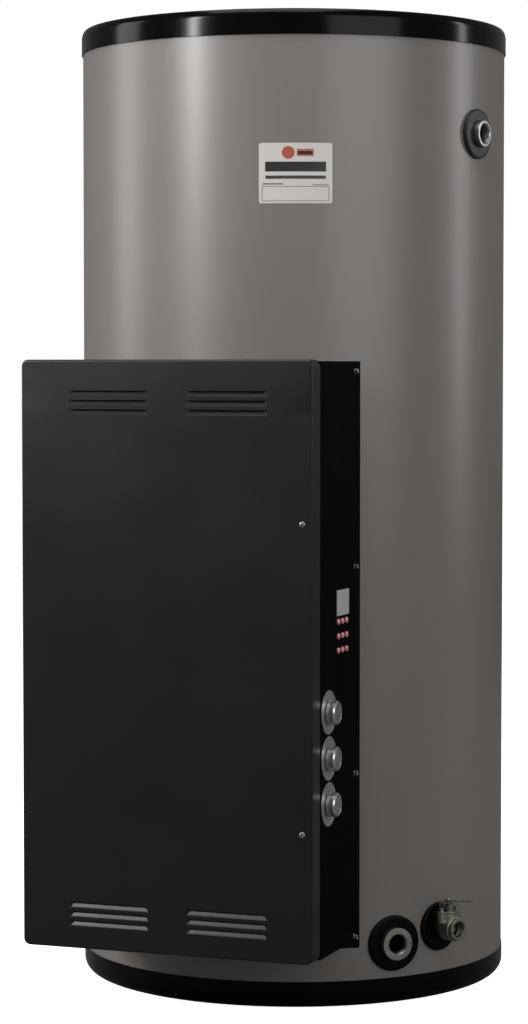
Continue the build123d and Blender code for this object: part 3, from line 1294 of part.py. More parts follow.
with BuildPart() as limit_switch:
    front_box(LIMIT_SIDE, LIMIT_MIDDLE, BACK_FACE, BACK_FACE + LIMIT_DEPTH, LIMIT_WIDTH, LIMIT_HEIGHT)
    chamfer(faces().sort_by(Axis.Y)[0].edges(), THERMOSTAT_EDGE)
    with BuildSketch(Plane.XZ.offset(BACK_FACE + LIMIT_DEPTH)):
        with Locations((LIMIT_SIDE, LIMIT_MIDDLE)):
            Circle(LIMIT_COLLAR_DIAMETER / 2)
    extrude(amount=LIMIT_COLLAR_HEIGHT)
    with BuildSketch(Plane.XZ.offset(LIMIT_FACE)):
        with Locations((LIMIT_SIDE, LIMIT_MIDDLE)):
            Circle(RESET_DIAMETER / 2 + RESET_GAP)
    extrude(amount=-(RESET_LENGTH + RESET_TRAVEL + RESET_GAP - RESET_PROUD), mode=Mode.SUBTRACT)
write_piece(limit_switch, "limit_switch")

with BuildPart() as reset_button:
    with BuildSketch(Plane.XZ.offset(LIMIT_FACE + RESET_PROUD)):
        with Locations((LIMIT_SIDE, LIMIT_MIDDLE)):
            Circle(RESET_DIAMETER / 2)
    extrude(amount=-RESET_LENGTH)
    chamfer(edges().filter_by(GeomType.CIRCLE).sort_by(Axis.Y)[0], RESET_GAP)
write_piece(reset_button, "reset_button")

# A lead runs from under each contactor down to a terminal of its own flange and meets it from the front.
TERMINAL_FACE = FLANGE_END + TERMINAL_LENGTH
LEAD_DEPTH = TERMINAL_FACE + LEAD_BEND
LEAD_FRONT = TERMINAL_FACE + 2 * LEAD_BEND
LEAD_ROUTES = zip(CONTACTOR_SIDES, (HAIRPIN_SIDES[0], HAIRPIN_SIDES[1], HAIRPIN_SIDES[-1]), LEAD_FLANGES)

with BuildPart() as element_leads:
    for contactor_side, terminal_side, flange in LEAD_ROUTES:
        terminal_height = ELEMENT_HEIGHTS[flange] + HAIRPIN_LEG_SPACING / 2
        with BuildLine() as route:
            FilletPolyline(
                (contactor_side, -LEAD_DEPTH, CONTACTOR_BOTTOM),
                (contactor_side, -LEAD_DEPTH, terminal_height + LEAD_TURN),
                (terminal_side, -LEAD_FRONT, terminal_height),
                (terminal_side, -TERMINAL_FACE - LEAD_END_GAP, terminal_height),
                radius=LEAD_BEND,
            )
        with BuildSketch(Plane.XY.offset(CONTACTOR_BOTTOM)):
            with Locations((contactor_side, -LEAD_DEPTH)):
                Circle(LEAD_DIAMETER / 2)
        sweep(path=route.wire())
write_piece(element_leads, "element_leads")
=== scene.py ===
import json
import math

import bmesh
import bpy
from bpy.props import FloatProperty, FloatVectorProperty, IntProperty, PointerProperty
from bpy.types import Operator, Panel, PropertyGroup
from mathutils import Matrix, Vector

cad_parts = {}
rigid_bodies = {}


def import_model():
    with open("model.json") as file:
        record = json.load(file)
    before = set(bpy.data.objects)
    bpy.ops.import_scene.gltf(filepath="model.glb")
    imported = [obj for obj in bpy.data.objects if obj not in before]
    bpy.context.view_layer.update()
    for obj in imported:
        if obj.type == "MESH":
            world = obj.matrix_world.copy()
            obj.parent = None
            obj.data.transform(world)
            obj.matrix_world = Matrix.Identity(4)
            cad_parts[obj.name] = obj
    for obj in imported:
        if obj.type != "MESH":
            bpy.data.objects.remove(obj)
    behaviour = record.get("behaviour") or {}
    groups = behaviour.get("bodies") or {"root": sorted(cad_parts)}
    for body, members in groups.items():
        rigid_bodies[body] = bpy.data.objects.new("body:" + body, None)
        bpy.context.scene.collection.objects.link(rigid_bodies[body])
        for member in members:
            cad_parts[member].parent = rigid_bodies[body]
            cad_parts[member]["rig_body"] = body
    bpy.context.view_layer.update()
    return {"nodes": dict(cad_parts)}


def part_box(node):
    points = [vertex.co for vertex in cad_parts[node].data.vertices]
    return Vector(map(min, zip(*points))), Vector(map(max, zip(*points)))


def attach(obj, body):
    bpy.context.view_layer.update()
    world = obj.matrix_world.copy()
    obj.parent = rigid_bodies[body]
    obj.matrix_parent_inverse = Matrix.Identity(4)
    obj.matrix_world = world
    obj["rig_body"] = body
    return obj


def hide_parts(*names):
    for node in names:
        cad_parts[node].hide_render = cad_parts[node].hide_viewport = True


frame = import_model()

bl_info = {
    "name": "Tank water heater",
    "version": (1, 0, 0),
    "blender": (4, 5, 0),
    "location": "3D View > Sidebar > Heater",
    "description": "Builds the finished look of a tall electric storage water heater on its frame",
    "category": "Object",
}

MM = 0.001
# A bearing is in degrees from the cabinet's front towards +X, and a height is from the floor.
OUTLET_BEARING, INLET_BEARING, DRAIN_BEARING, LABEL_BEARING = 76.5, 46.6, 61.3, 20.2
OUTLET_HEIGHT, INLET_HEIGHT, DRAIN_HEIGHT = 1.316, 0.0939, 0.1105
# The jacket's holes, by radius, and how far a piece that lies on the jacket stays clear of it.
OUTLET_HOLE, INLET_HOLE, DRAIN_HOLE, NECK_HOLE = 21 * MM, 25.5 * MM, 14.4 * MM, 60 * MM
JACKET_WALL = 0.9 * MM
JACKET_GAP = 0.06 * MM
JACKET_LOW, JACKET_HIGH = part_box("jacket")
JACKET_RADIUS = JACKET_HIGH.x
DOOR_LOW, DOOR_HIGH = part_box("door_panel")
PANEL_FACE = DOOR_HIGH.x
LOUVRE_LENGTH, LOUVRE_HEIGHT = 123 * MM, 8.4 * MM
LOUVRE_SIDES = (-87.2 * MM, 94.3 * MM)
LOUVRE_HEIGHTS = [height * MM for height in (155.4, 168.8, 182.2, 896.3, 909.7, 923.1)]
PANEL_SCREW_DEPTH = -359.5 * MM
PANEL_SCREW_HEIGHTS = [height * MM for height in (125.6, 367.3, 670.6, 955.0)]
SEAM_SCREWS = 8
SCREW_FLANGE = 4.3 * MM
DOOR_SCREW_SIDE = PANEL_FACE - 14.3 * MM
DOOR_SCREW_HEIGHTS = (303.6 * MM, 740.9 * MM)
DIAL_DEPTH = -475 * MM
DIAL_HEIGHTS = {1: 337.7 * MM, 2: 403.6 * MM, 3: 469.5 * MM}
LAMP_DEPTHS = (-435 * MM, -417 * MM, -399 * MM)
LAMP_HEIGHTS = (554.3 * MM, 575.0 * MM, 595.7 * MM)


def linear(code):
    """The linear colour, with full opacity, of an sRGB hex value."""
    parts = [int(code[place : place + 2], 16) / 255 for place in (1, 3, 5)]
    return (*(c / 12.92 if c <= 0.04045 else ((c + 0.055) / 1.055) ** 2.4 for c in parts), 1.0)


def length(words, default):
    """A length that a user may change, in metres."""
    return FloatProperty(
        name=words.capitalize(), description=f"The {words}", default=default, min=0, unit="LENGTH"
    )


def colour(words, code):
    """A colour that a user may change."""
    return FloatVectorProperty(
        name=words.capitalize(),
        description=f"The {words}",
        default=linear(code)[:3],
        subtype="COLOR",
        min=0,
        max=1,
    )


class HeaterSizes(PropertyGroup):
    """The sizes of the finish that the frame doesn't hold"""

    turned_segments: IntProperty(
        name="Turned segments", description="The number of sides of the round casing", default=192, min=24
    )
    sheet_edge: length("rounding of a folded sheet's edge", 0.4 * MM)
    door_edge: length("rounding round the door's face", 3 * MM)
    door_corner: length("rounding of the door's corners", 10 * MM)
    door_sheet: length("thickness of the door's sheet", 1.5 * MM)
    louvre_depth: length("depth of a louvre's flap", 4.2 * MM)
    thread_pitch: length("pitch of the pipe threads", 2.2 * MM)
    thread_depth: length("depth of the pipe threads", 0.8 * MM)
    screw_edge: length("rounding of a screw head's edges", 0.35 * MM)


class HeaterColours(PropertyGroup):
    """The colours of the heater's finishes"""

    jacket: colour("jacket's baked enamel", "#78726e")
    black: colour("gloss black of the cap and base", "#050506")
    cabinet: colour("black of the cabinet", "#030303")
    door: colour("black of the door", "#040404")
    label: colour("ground of the label", "#cdc8c3")
    lamp: colour("red of the lamps", "#dd9298")
    dial: colour("grey of the dial plates", "#bcbcbc")
    brass: colour("dull cast brass of the drain valve", "#8c8d82")


# ---- Shaping in edit mode ----


def clear():
    """Leaves edit mode and deselects every object."""
    if bpy.context.mode != "OBJECT":
        bpy.ops.object.mode_set(mode="OBJECT")
    bpy.ops.object.select_all(action="DESELECT")


def edit(piece):
    """Opens a piece in edit mode with all of it selected."""
    clear()
    piece.select_set(True)
    bpy.context.view_layer.objects.active = piece
    bpy.ops.object.mode_set(mode="EDIT")
    bpy.ops.mesh.select_mode(type="VERT")
    bpy.ops.mesh.select_all(action="SELECT")


def pick(piece, kind, test):
    """Selects the edges or faces of an edited piece that pass a test, and counts them."""
    bpy.ops.mesh.select_mode(type=kind)
    bpy.ops.mesh.select_all(action="DESELECT")
    mesh = bmesh.from_edit_mesh(piece.data)
    count = 0
    for part in mesh.faces if kind == "FACE" else mesh.edges:
        middle = sum((v.co for v in part.verts), Vector()) / len(part.verts)
        way = part.normal if kind == "FACE" else (part.verts[1].co - part.verts[0].co).normalized()
        if test(middle, way, part):
            part.select_set(True)
            count += 1
    bmesh.update_edit_mesh(piece.data)
    return count


def add_start(kind, **settings):
    """Adds a primitive by itself, with its transform applied."""
    clear()
    scale = settings.pop("scale", (1, 1, 1))
    getattr(bpy.ops.mesh, f"primitive_{kind}_add")(**settings)
    piece = bpy.context.object
    piece.scale = scale
    bpy.ops.object.transform_apply(location=True, rotation=True, scale=True)
    return piece


def turned(rings, segments):
    """Turns a piece about its own Z from (radius, height) rings, and closes what is open at both ends."""
    radius, height = rings[0]
    piece = add_start("circle", vertices=segments, radius=radius, location=(0, 0, height))
    edit(piece)
    for next_radius, next_height in rings[1:]:
        bpy.ops.mesh.extrude_region_move(TRANSFORM_OT_translate={"value": (0, 0, next_height - height)})
        grow = next_radius / radius
        bpy.ops.transform.resize(value=(grow, grow, 1), center_override=(0, 0, next_height))
        radius, height = next_radius, next_height
    bpy.ops.mesh.select_all(action="SELECT")
    bpy.ops.mesh.remove_doubles(threshold=1e-6)
    bpy.ops.mesh.select_all(action="SELECT")
    bpy.ops.mesh.fill_holes(sides=0)
    bpy.ops.mesh.select_all(action="SELECT")
    bpy.ops.mesh.normals_make_consistent(inside=False)
    clear()
    return piece


def arc(centre, radii, start, end, steps=8):
    """The (radius, height) points along an arc, between two angles in degrees from the outward direction."""
    turns = [math.radians(start + (end - start) * step / steps) for step in range(steps + 1)]
    return [(centre[0] + radii[0] * math.cos(t), centre[1] + radii[1] * math.sin(t)) for t in turns]


def modify(piece, kind, **settings):
    """Adds a modifier to a piece and applies it."""
    clear()
    piece.select_set(True)
    bpy.context.view_layer.objects.active = piece
    modifier = piece.modifiers.new(kind.title(), kind)
    for name, value in settings.items():
        setattr(modifier, name, value)
    bpy.ops.object.modifier_apply(modifier=modifier.name)


def round_edges(piece, width, angle):
    """Rounds every edge of a piece that is sharper than an angle."""
    modify(piece, "BEVEL", width=width, segments=2, limit_method="ANGLE", angle_limit=math.radians(angle))


def smooth(piece, angle=32):
    """Shades a piece smooth except across its sharp edges, with its wide faces kept flat."""
    clear()
    piece.select_set(True)
    bpy.context.view_layer.objects.active = piece
    bpy.ops.object.shade_smooth_by_angle(angle=math.radians(angle))
    modify(piece, "WEIGHTED_NORMAL", keep_sharp=True)


def outward(bearing):
    """The level direction away from the tank's axis at a bearing from the cabinet's front towards +X."""
    turn = math.radians(bearing)
    return Vector((math.sin(turn), -math.cos(turn), 0))


def seat(piece, origin, bearing):
    """Puts a piece that was made about its own origin at a place, with its Z outwards and its Y upwards."""
    away = outward(bearing)
    turn = Matrix((Vector((0, 0, 1)).cross(away), Vector((0, 0, 1)), away)).transposed().to_4x4()
    piece.data.transform(Matrix.Translation(origin) @ turn)
    return piece


def jacket_place(bearing, height, distance=0.0):
    """A point at a bearing and height, at a distance outside the jacket's face."""
    return outward(bearing) * (JACKET_RADIUS + distance) + Vector((0, 0, height))


def copied(piece):
    """A copy of a piece with its own mesh."""
    clear()
    twin = piece.copy()
    twin.data = piece.data.copy()
    bpy.context.scene.collection.objects.link(twin)
    return twin


def joined(pieces):
    """Joins pieces into one object."""
    clear()
    for piece in pieces:
        piece.select_set(True)
    bpy.context.view_layer.objects.active = pieces[0]
    bpy.ops.object.join()
    return bpy.context.object


def frame_copy(node):
    """A copy of a frame node as a closed mesh, with its loose triangles merged into flat faces."""
    clear()
    piece = bpy.data.objects.new(node, frame["nodes"][node].data.copy())
    bpy.context.scene.collection.objects.link(piece)
    edit(piece)
    bpy.ops.mesh.remove_doubles(threshold=2e-6)
    bpy.ops.mesh.customdata_custom_splitnormals_clear()
    bpy.ops.mesh.select_all(action="SELECT")
    bpy.ops.mesh.dissolve_limited(angle_limit=math.radians(0.5))
    clear()
    return piece


def keep(piece, name, body, finish, *nodes):
    """Names a finished piece, gives it its finish and its body, and lets it stand for frame nodes."""
    piece.name = name
    piece.data.name = name
    piece.data.materials.clear()
    piece.data.materials.append(finishes[finish])
    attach(piece, body)
    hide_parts(*nodes)
    return piece


def eased(node, finish, width):
    """Stands for a frame node with a copy whose edges are rounded, unless the width is nothing."""
    piece = frame_copy(node)
    if width:
        round_edges(piece, width, 40)
    smooth(piece)
    return keep(piece, f"{node}_finished", frame["nodes"][node]["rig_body"], finish, node)


def cast(node, finish, grain):
    """Stands for a frame node with a casting: its walls are remeshed and its edges softened."""
    piece = frame_copy(node)
    modify(piece, "REMESH", mode="VOXEL", voxel_size=grain)
    modify(piece, "SMOOTH", factor=0.5, iterations=4)
    smooth(piece, 60)
    return keep(piece, f"{node}_finished", frame["nodes"][node]["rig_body"], finish, node)


# ---- Finishes ----

finishes = {}


def add_node(tree, kind, inputs=None, stops=None, **settings):
    """Adds a node, sets it, and gives each of its inputs a value or a link."""
    node = tree.nodes.new(kind)
    for name, value in settings.items():
        setattr(node, name, value)
    for name, value in (inputs or {}).items():
        if isinstance(value, bpy.types.NodeSocket):
            tree.links.new(value, node.inputs[name])
        else:
            node.inputs[name].default_value = value
    if stops:
        ramp = node.color_ramp.elements
        while len(ramp) < len(stops):
            ramp.new(0.5)
        for element, (place, tint) in zip(ramp, stops):
            element.position = place
            element.color = tint
    return node


def shade(base, amount):
    """A colour made darker or lighter by a factor."""
    return (*(min(1.0, part * amount) for part in base[:3]), 1.0)


def surface(
    name,
    base,
    rough,
    metal=0.0,
    grain=1.0,
    relief=0.02,
    tone=0.08,
    patch=60.0,
    stretch=(1, 1, 1),
    painted_shade_depth=0,
    **shader,
):
    """A finish whose tone and roughness are mottled in patches, with a fine relief in grains.

    The patch, grain and relief are in mm. The depth for painted shade, in mm, darkens the colour of what
    lies that deep in a hole, as painted shade. The other settings are the shader's own sockets.
    """
    material = bpy.data.materials.new(name)
    material.use_nodes = True
    tree = material.node_tree
    skin = tree.nodes["Principled BSDF"]
    place = add_node(tree, "ShaderNodeTexCoord").outputs["Object"]
    drawn = add_node(tree, "ShaderNodeMapping", {"Vector": place, "Scale": stretch}).outputs["Vector"]
    cloud = add_node(tree, "ShaderNodeTexNoise", {"Vector": place, "Scale": 1 / (patch * MM), "Detail": 4.0})
    fine = add_node(tree, "ShaderNodeTexNoise", {"Vector": drawn, "Scale": 1 / (grain * MM), "Detail": 3.0})
    mixed = add_node(tree, "ShaderNodeMath", {0: cloud.outputs[0], 1: fine.outputs[0]}, operation="ADD")
    half = add_node(tree, "ShaderNodeMath", {0: mixed.outputs[0], 1: 0.5}, operation="MULTIPLY")
    tint = add_node(
        tree,
        "ShaderNodeValToRGB",
        {"Fac": half.outputs[0]},
        stops=[(0.3, shade(base, 1 - tone)), (0.7, shade(base, 1 + tone))],
    )
    spread = add_node(
        tree,
        "ShaderNodeMapRange",
        {
            "Value": half.outputs[0],
            "From Min": 0.3,
            "From Max": 0.7,
            "To Min": rough * 0.88,
            "To Max": rough * 1.12,
        },
    )
    height = {"Height": fine.outputs[0], "Strength": 0.6, "Distance": relief * MM}
    bump = add_node(tree, "ShaderNodeBump", height)
    skin_colour = tint.outputs["Color"]
    # Painted shade: where ambient occlusion finds a deep hole, the colour goes near black.
    if painted_shade_depth:
        open_sky = add_node(tree, "ShaderNodeAmbientOcclusion", {"Distance": painted_shade_depth * MM}).outputs["AO"]
        painted_bore_shade = add_node(
            tree,
            "ShaderNodeMapRange",
            {"Value": open_sky, "From Min": 0.3, "From Max": 0.75, "To Min": 0.98, "To Max": 0.0},
        )
        skin_colour = add_node(
            tree,
            "ShaderNodeMixRGB",
            {"Fac": painted_bore_shade.outputs[0], "Color1": skin_colour, "Color2": linear("#020202")},
        ).outputs[0]
    tree.links.new(skin_colour, skin.inputs["Base Color"])
    tree.links.new(spread.outputs[0], skin.inputs["Roughness"])
    tree.links.new(bump.outputs["Normal"], skin.inputs["Normal"])
    skin.inputs["Metallic"].default_value = metal
    for socket, value in shader.items():
        skin.inputs[socket.replace("_", " ")].default_value = value
    finishes[name] = material
    return material


def printed_label(name, base):
    """Vinyl with a plain disc, plain blocks and a thin outlined box, laid out on the label's own UV map."""
    material = surface(name, base, 0.38, grain=0.5, relief=0.01, tone=0.02, Coat_Weight=0.3)
    tree = material.node_tree
    skin = tree.nodes["Principled BSDF"]
    ground = skin.inputs["Base Color"].links[0].from_socket
    print_place = add_node(tree, "ShaderNodeUVMap", uv_map="print").outputs["UV"]
    black, red = linear("#141210"), linear("#a8401f")
    # Each shape's kind, its middle and half size in parts of the label, its density and its ink.
    shapes = [
        ("disc", (0.40, 0.84), (0.087, 0.106), 0.92, red),
        ("block", (0.63, 0.84), (0.115, 0.06), 0.85, red),
        ("block", (0.63, 0.835), (0.10, 0.03), 0.95, black),
        ("block", (0.5, 0.607), (0.415, 0.082), 0.97, black),
        ("block", (0.5, 0.432), (0.41, 0.028), 0.93, black),
        ("block", (0.19, 0.322), (0.14, 0.014), 0.7, black),
        ("block", (0.84, 0.307), (0.11, 0.010), 0.6, black),
        ("outline", (0.5, 0.16), (0.455, 0.12), 0.7, black),
    ]
    outline_width = 0.006
    sums, numbers = "ShaderNodeVectorMath", "ShaderNodeMath"
    printed = ground
    for kind, middle, half, density, ink in shapes:
        away = add_node(tree, sums, {0: print_place, 1: (*middle, 0)}, operation="SUBTRACT")
        if kind == "disc":
            round_place = add_node(tree, sums, {0: away.outputs[0], 1: (*half, 1)}, operation="DIVIDE")
            reach = add_node(tree, sums, {0: round_place.outputs[0]}, operation="LENGTH")
            inside = add_node(tree, numbers, {0: reach.outputs["Value"], 1: 1.0}, operation="LESS_THAN")
        else:
            size = add_node(tree, sums, {0: away.outputs[0]}, operation="ABSOLUTE")
            over = add_node(tree, sums, {0: size.outputs[0], 1: (*half, 0)}, operation="SUBTRACT")
            sides = add_node(tree, "ShaderNodeSeparateXYZ", {0: over.outputs[0]}).outputs
            edge = add_node(tree, numbers, {0: sides[0], 1: sides[1]}, operation="MAXIMUM").outputs[0]
            if kind == "outline":
                edge = add_node(tree, numbers, {0: edge}, operation="ABSOLUTE").outputs[0]
            line = outline_width if kind == "outline" else 0.0
            inside = add_node(tree, numbers, {0: edge, 1: line}, operation="LESS_THAN")
        weight = add_node(tree, numbers, {0: inside.outputs[0], 1: density}, operation="MULTIPLY").outputs[0]
        printed = add_node(
            tree, "ShaderNodeMixRGB", {"Fac": weight, "Color1": printed, "Color2": ink}
        ).outputs[0]
    tree.links.new(printed, skin.inputs["Base Color"])


class HEATER_OT_finishes(Operator):
    """Makes every finish of the heater"""

    bl_idname = "heater.finishes"
    bl_label = "Finishes"

    def execute(self, context):
        pots = context.scene.heater_colours
        # Baked enamel on rolled steel: even grey-brown, with a soft sheen and a faint orange peel of 3 mm.
        surface("baked_enamel_steel", pots.jacket, 0.36, grain=3, relief=0.02, tone=0.035, patch=180,
                Coat_Weight=0.2, Coat_Roughness=0.28)
        # Gloss black enamel on the pressed cap and base pan: wet-looking, with the same orange peel.
        surface("gloss_black_enamel", pots.black, 0.16, grain=3, relief=0.02, tone=0.12, patch=90,
                Specular_IOR_Level=0.12)
        # Black powder coat on folded sheet: satin, glossier on the door, with a pebbled skin of 0.8 mm.
        surface("black_powder_coat", pots.cabinet, 0.48, grain=0.8, relief=0.02, tone=0.12, patch=70,
                Specular_IOR_Level=0.015)
        surface("door_powder_coat", pots.door, 0.35, grain=0.8, relief=0.02, tone=0.1, patch=120,
                Specular_IOR_Level=0.42)
        printed_label("printed_vinyl", pots.label)
        # Hot-rolled tank steel: dark, matt and patchy with mill scale. The cast anode rod is paler.
        surface("tank_steel", linear("#5f5f62"), 0.6, 1.0, grain=2, relief=0.05, tone=0.25, patch=30)
        surface("magnesium_rod", linear("#a4a5a6"), 0.6, 1.0, grain=1.5, relief=0.08, tone=0.15, patch=12)
        # Rigid foam: pale buff with 1 mm cells.
        surface("polyurethane_foam", linear("#dcc78d"), 0.9, grain=1, relief=0.3, tone=0.12, patch=25)
        # Turned steel: a soft satin, with painted shade darkening the inside of the bores, and duller on the
        # lower coupling.
        surface("turned_steel", linear("#b9b8b5"), 0.34, 1.0, grain=0.5, relief=0.01, tone=0.1, patch=9,
                painted_shade_depth=35)
        surface("dull_coupling_steel", linear("#99968f"), 0.46, 1.0, grain=0.7, relief=0.03, tone=0.14,
                patch=11, painted_shade_depth=35)
        # Moulded plastic: satin, with the fine grain of its mould.
        surface("black_moulded_plastic", linear("#060606"), 0.4, grain=0.8, relief=0.01, tone=0.1, patch=20,
                Specular_IOR_Level=0.08)
        surface("grey_moulded_plastic", linear("#28282a"), 0.42, grain=0.8, relief=0.02, tone=0.08, patch=18)
        # Sand-cast brass gone dull: a 1 mm sand grain, with darker patches and painted shade in the bore.
        surface("sand_cast_brass", pots.brass, 0.44, 1.0, grain=1, relief=0.12, tone=0.22, patch=10,
                painted_shade_depth=12)
        # Turned brass and chrome: bright metal with next to no grain.
        surface("turned_brass", linear("#8a8976"), 0.3, 1.0, grain=0.5, relief=0.01, tone=0.1, patch=6)
        surface("polished_chrome", linear("#c9cacc"), 0.08, 1.0, grain=1, relief=0.002, tone=0.03, patch=8)
        # Zinc plate: bright and slightly cloudy, with a spangle of a few mm, and greyer on the lever.
        surface("zinc_plate", linear("#9c9d9f"), 0.34, 1.0, grain=1.2, relief=0.01, tone=0.12, patch=4)
        surface("dull_zinc_plate", linear("#77796f"), 0.42, 1.0, grain=1, relief=0.03, tone=0.16, patch=7)
        # Nitrile rubber is matt, and the elements' sheaths are steel dulled by heat.
        surface("nitrile_rubber", linear("#1d1d1d"), 0.75, grain=0.6, relief=0.03, tone=0.1, patch=10)
        surface("element_sheath", linear("#8f8b84"), 0.4, 1.0, grain=0.8, relief=0.01, tone=0.15, patch=14)
        # Grey window film of the display: smooth and faintly glossy.
        surface("display_film", linear("#bcbcbc"), 0.3, grain=0.5, relief=0.003, tone=0.03, patch=25,
                Coat_Weight=0.4, Coat_Roughness=0.1)
        # Translucent red lamp caps: light scatters inside, so they look pink where thin.
        surface("red_lamp_plastic", pots.lamp, 0.2, grain=0.6, relief=0.004, tone=0.1, patch=3,
                Coat_Weight=0.6, Coat_Roughness=0.06, Subsurface_Weight=0.3, Subsurface_Scale=0.002)
        # Rolled aluminium plate, etched to a satin.
        surface("satin_aluminium", pots.dial, 0.4, 1.0, grain=0.6, relief=0.02, tone=0.08, patch=16,
                stretch=(1, 1, 0.08))
        # Machined knob: the turning leaves a fine grain across its face.
        surface("machined_aluminium", linear("#c6c6c7"), 0.3, 1.0, grain=0.5, relief=0.02, tone=0.1, patch=9,
                stretch=(1, 1, 0.15))
        # Phenolic and urea mouldings of the switchgear: satin, a little uneven in tone.
        surface("phenolic_moulding", linear("#26221f"), 0.45, grain=0.7, relief=0.03, tone=0.15, patch=12)
        surface("ivory_moulding", linear("#c3bfb2"), 0.45, grain=0.8, relief=0.02, tone=0.05, patch=12)
        surface("brown_phenolic", linear("#5a4334"), 0.45, grain=0.8, relief=0.03, tone=0.12, patch=14)
        # Wound fibre tube of the fuses: matt, with its grain drawn out along it.
        surface("fuse_fibre", linear("#d8cba8"), 0.6, grain=0.4, relief=0.03, tone=0.08, patch=8,
                stretch=(1, 1, 0.2))
        surface("red_moulding", linear("#b3201f"), 0.3, grain=0.8, relief=0.01, tone=0.06, patch=6,
                Coat_Weight=0.3)
        # Extruded wire cover: smooth and satin.
        surface("wire_insulation", linear("#2a2a2c"), 0.42, grain=0.8, relief=0.02, tone=0.1, patch=12)
        for node, finish in NODE_FINISHES.items():
            piece = frame["nodes"][node]
            piece.data.materials.clear()
            piece.data.materials.append(finishes[finish])
        return {"FINISHED"}


NODE_FINISHES = {
    "anode_rod": "magnesium_rod",
    "base_pan": "gloss_black_enamel",
    "cabinet_back": "black_powder_coat",
    "cabinet_bottom": "black_powder_coat",
    "cabinet_brackets": "black_powder_coat",
    "cabinet_top": "black_powder_coat",
    "cartridge_fuses": "fuse_fibre",
    "contactor_armature_1": "ivory_moulding",
    "contactor_armature_2": "ivory_moulding",
    "contactor_armature_3": "ivory_moulding",
    "contactor_housings": "phenolic_moulding",
    "control_side_panel": "black_powder_coat",
    "dial_knob_1": "machined_aluminium",
    "dial_knob_2": "machined_aluminium",
    "dial_knob_3": "machined_aluminium",
    "dial_plates": "satin_aluminium",
    "dial_spindle_1": "turned_steel",
    "dial_spindle_2": "turned_steel",
    "dial_spindle_3": "turned_steel",
    "display_lens": "display_film",
    "display_module": "black_moulded_plastic",
    "door_panel": "door_powder_coat",
    "door_screws": "zinc_plate",
    "drain_ball": "polished_chrome",
    "drain_bonnet": "sand_cast_brass",
    "drain_bonnet_screws": "zinc_plate",
    "drain_lever": "dull_zinc_plate",
    "drain_rosette": "black_moulded_plastic",
    "drain_spud": "tank_steel",
    "drain_stem": "turned_brass",
    "drain_valve_body": "sand_cast_brass",
    "element_flange_bolts": "zinc_plate",
    "element_flanges": "tank_steel",
    "element_gaskets": "nitrile_rubber",
    "element_leads": "wire_insulation",
    "element_necks": "tank_steel",
    "foam_insulation": "polyurethane_foam",
    "fuse_blocks": "brown_phenolic",
    "heating_elements": "element_sheath",
    "hinge_cabinet_leaves": "black_powder_coat",
    "hinge_door_leaves": "black_powder_coat",
    "hinge_pins": "zinc_plate",
    "indicator_lamps": "red_lamp_plastic",
    "inlet_coupling": "dull_coupling_steel",
    "inlet_rosette": "black_moulded_plastic",
    "jacket": "baked_enamel_steel",
    "jacket_seam_screws": "zinc_plate",
    "left_side_panel": "black_powder_coat",
    "limit_switch": "phenolic_moulding",
    "outlet_coupling": "turned_steel",
    "outlet_rosette": "grey_moulded_plastic",
    "rating_label": "printed_vinyl",
    "reset_button": "red_moulding",
    "side_panel_screws": "zinc_plate",
    "tank_bottom_head": "tank_steel",
    "tank_shell": "tank_steel",
    "tank_top_head": "tank_steel",
    "terminal_block": "ivory_moulding",
    "thermostat_bodies": "phenolic_moulding",
    "top_cap": "gloss_black_enamel",
}


# ---- Pieces ----


class HEATER_OT_casing(Operator):
    """Models the jacket with its lapped seam, the cap and the base pan"""

    bl_idname = "heater.casing"
    bl_label = "Casing"

    def execute(self, context):
        segments = context.scene.heater_sizes.turned_segments
        low, high = JACKET_LOW.z, JACKET_HIGH.z
        jacket = turned(
            [
                (JACKET_RADIUS - JACKET_WALL, low),
                (JACKET_RADIUS, low),
                (JACKET_RADIUS, high),
                (JACKET_RADIUS - JACKET_WALL, high),
                (JACKET_RADIUS - JACKET_WALL, low),
            ],
            segments,
        )
        # The cap and the pan keep a pinhole on the axis, which turned closes with a small flat face.
        pinhole = 1 * MM
        cap_low, cap_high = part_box("top_cap")
        radius, top, sheet, hem = cap_high.x, cap_high.z, 2 * MM, 0.4 * MM
        across, tall = 7.5 * MM, 14 * MM
        centre = (radius - across, top - tall)
        cap = turned(
            [
                (pinhole, top - sheet),
                *reversed(arc(centre, (across - sheet, tall - sheet), 0, 90)),
                (radius - sheet, cap_low.z),
                (radius - hem, cap_low.z),
                (radius, cap_low.z + hem),
                *arc(centre, (across, tall), 0, 90, 12),
                (pinhole, top),
            ],
            segments,
        )
        pan_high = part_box("base_pan")[1]
        radius, rim, sheet, hem, corner = pan_high.x, pan_high.z, 1 * MM, 0.2 * MM, 20 * MM
        centre = (radius - corner, corner)
        pan = turned(
            [
                (pinhole, sheet),
                *arc(centre, (corner - sheet, corner - sheet), -90, 0),
                (radius - sheet, rim),
                (radius - hem, rim),
                (radius, rim - hem),
                *arc(centre, (corner, corner), 0, -90, 12),
                (pinhole, 0),
            ],
            segments,
        )
        raise_seam(jacket)
        cut_openings(jacket)
        for piece in (jacket, cap, pan):
            smooth(piece, 40)
        keep(jacket, "jacket_shell", "heater", "baked_enamel_steel", "jacket")
        keep(cap, "cap_shell", "heater", "gloss_black_enamel", "top_cap")
        keep(pan, "base_shell", "heater", "gloss_black_enamel", "base_pan")
        return {"FINISHED"}


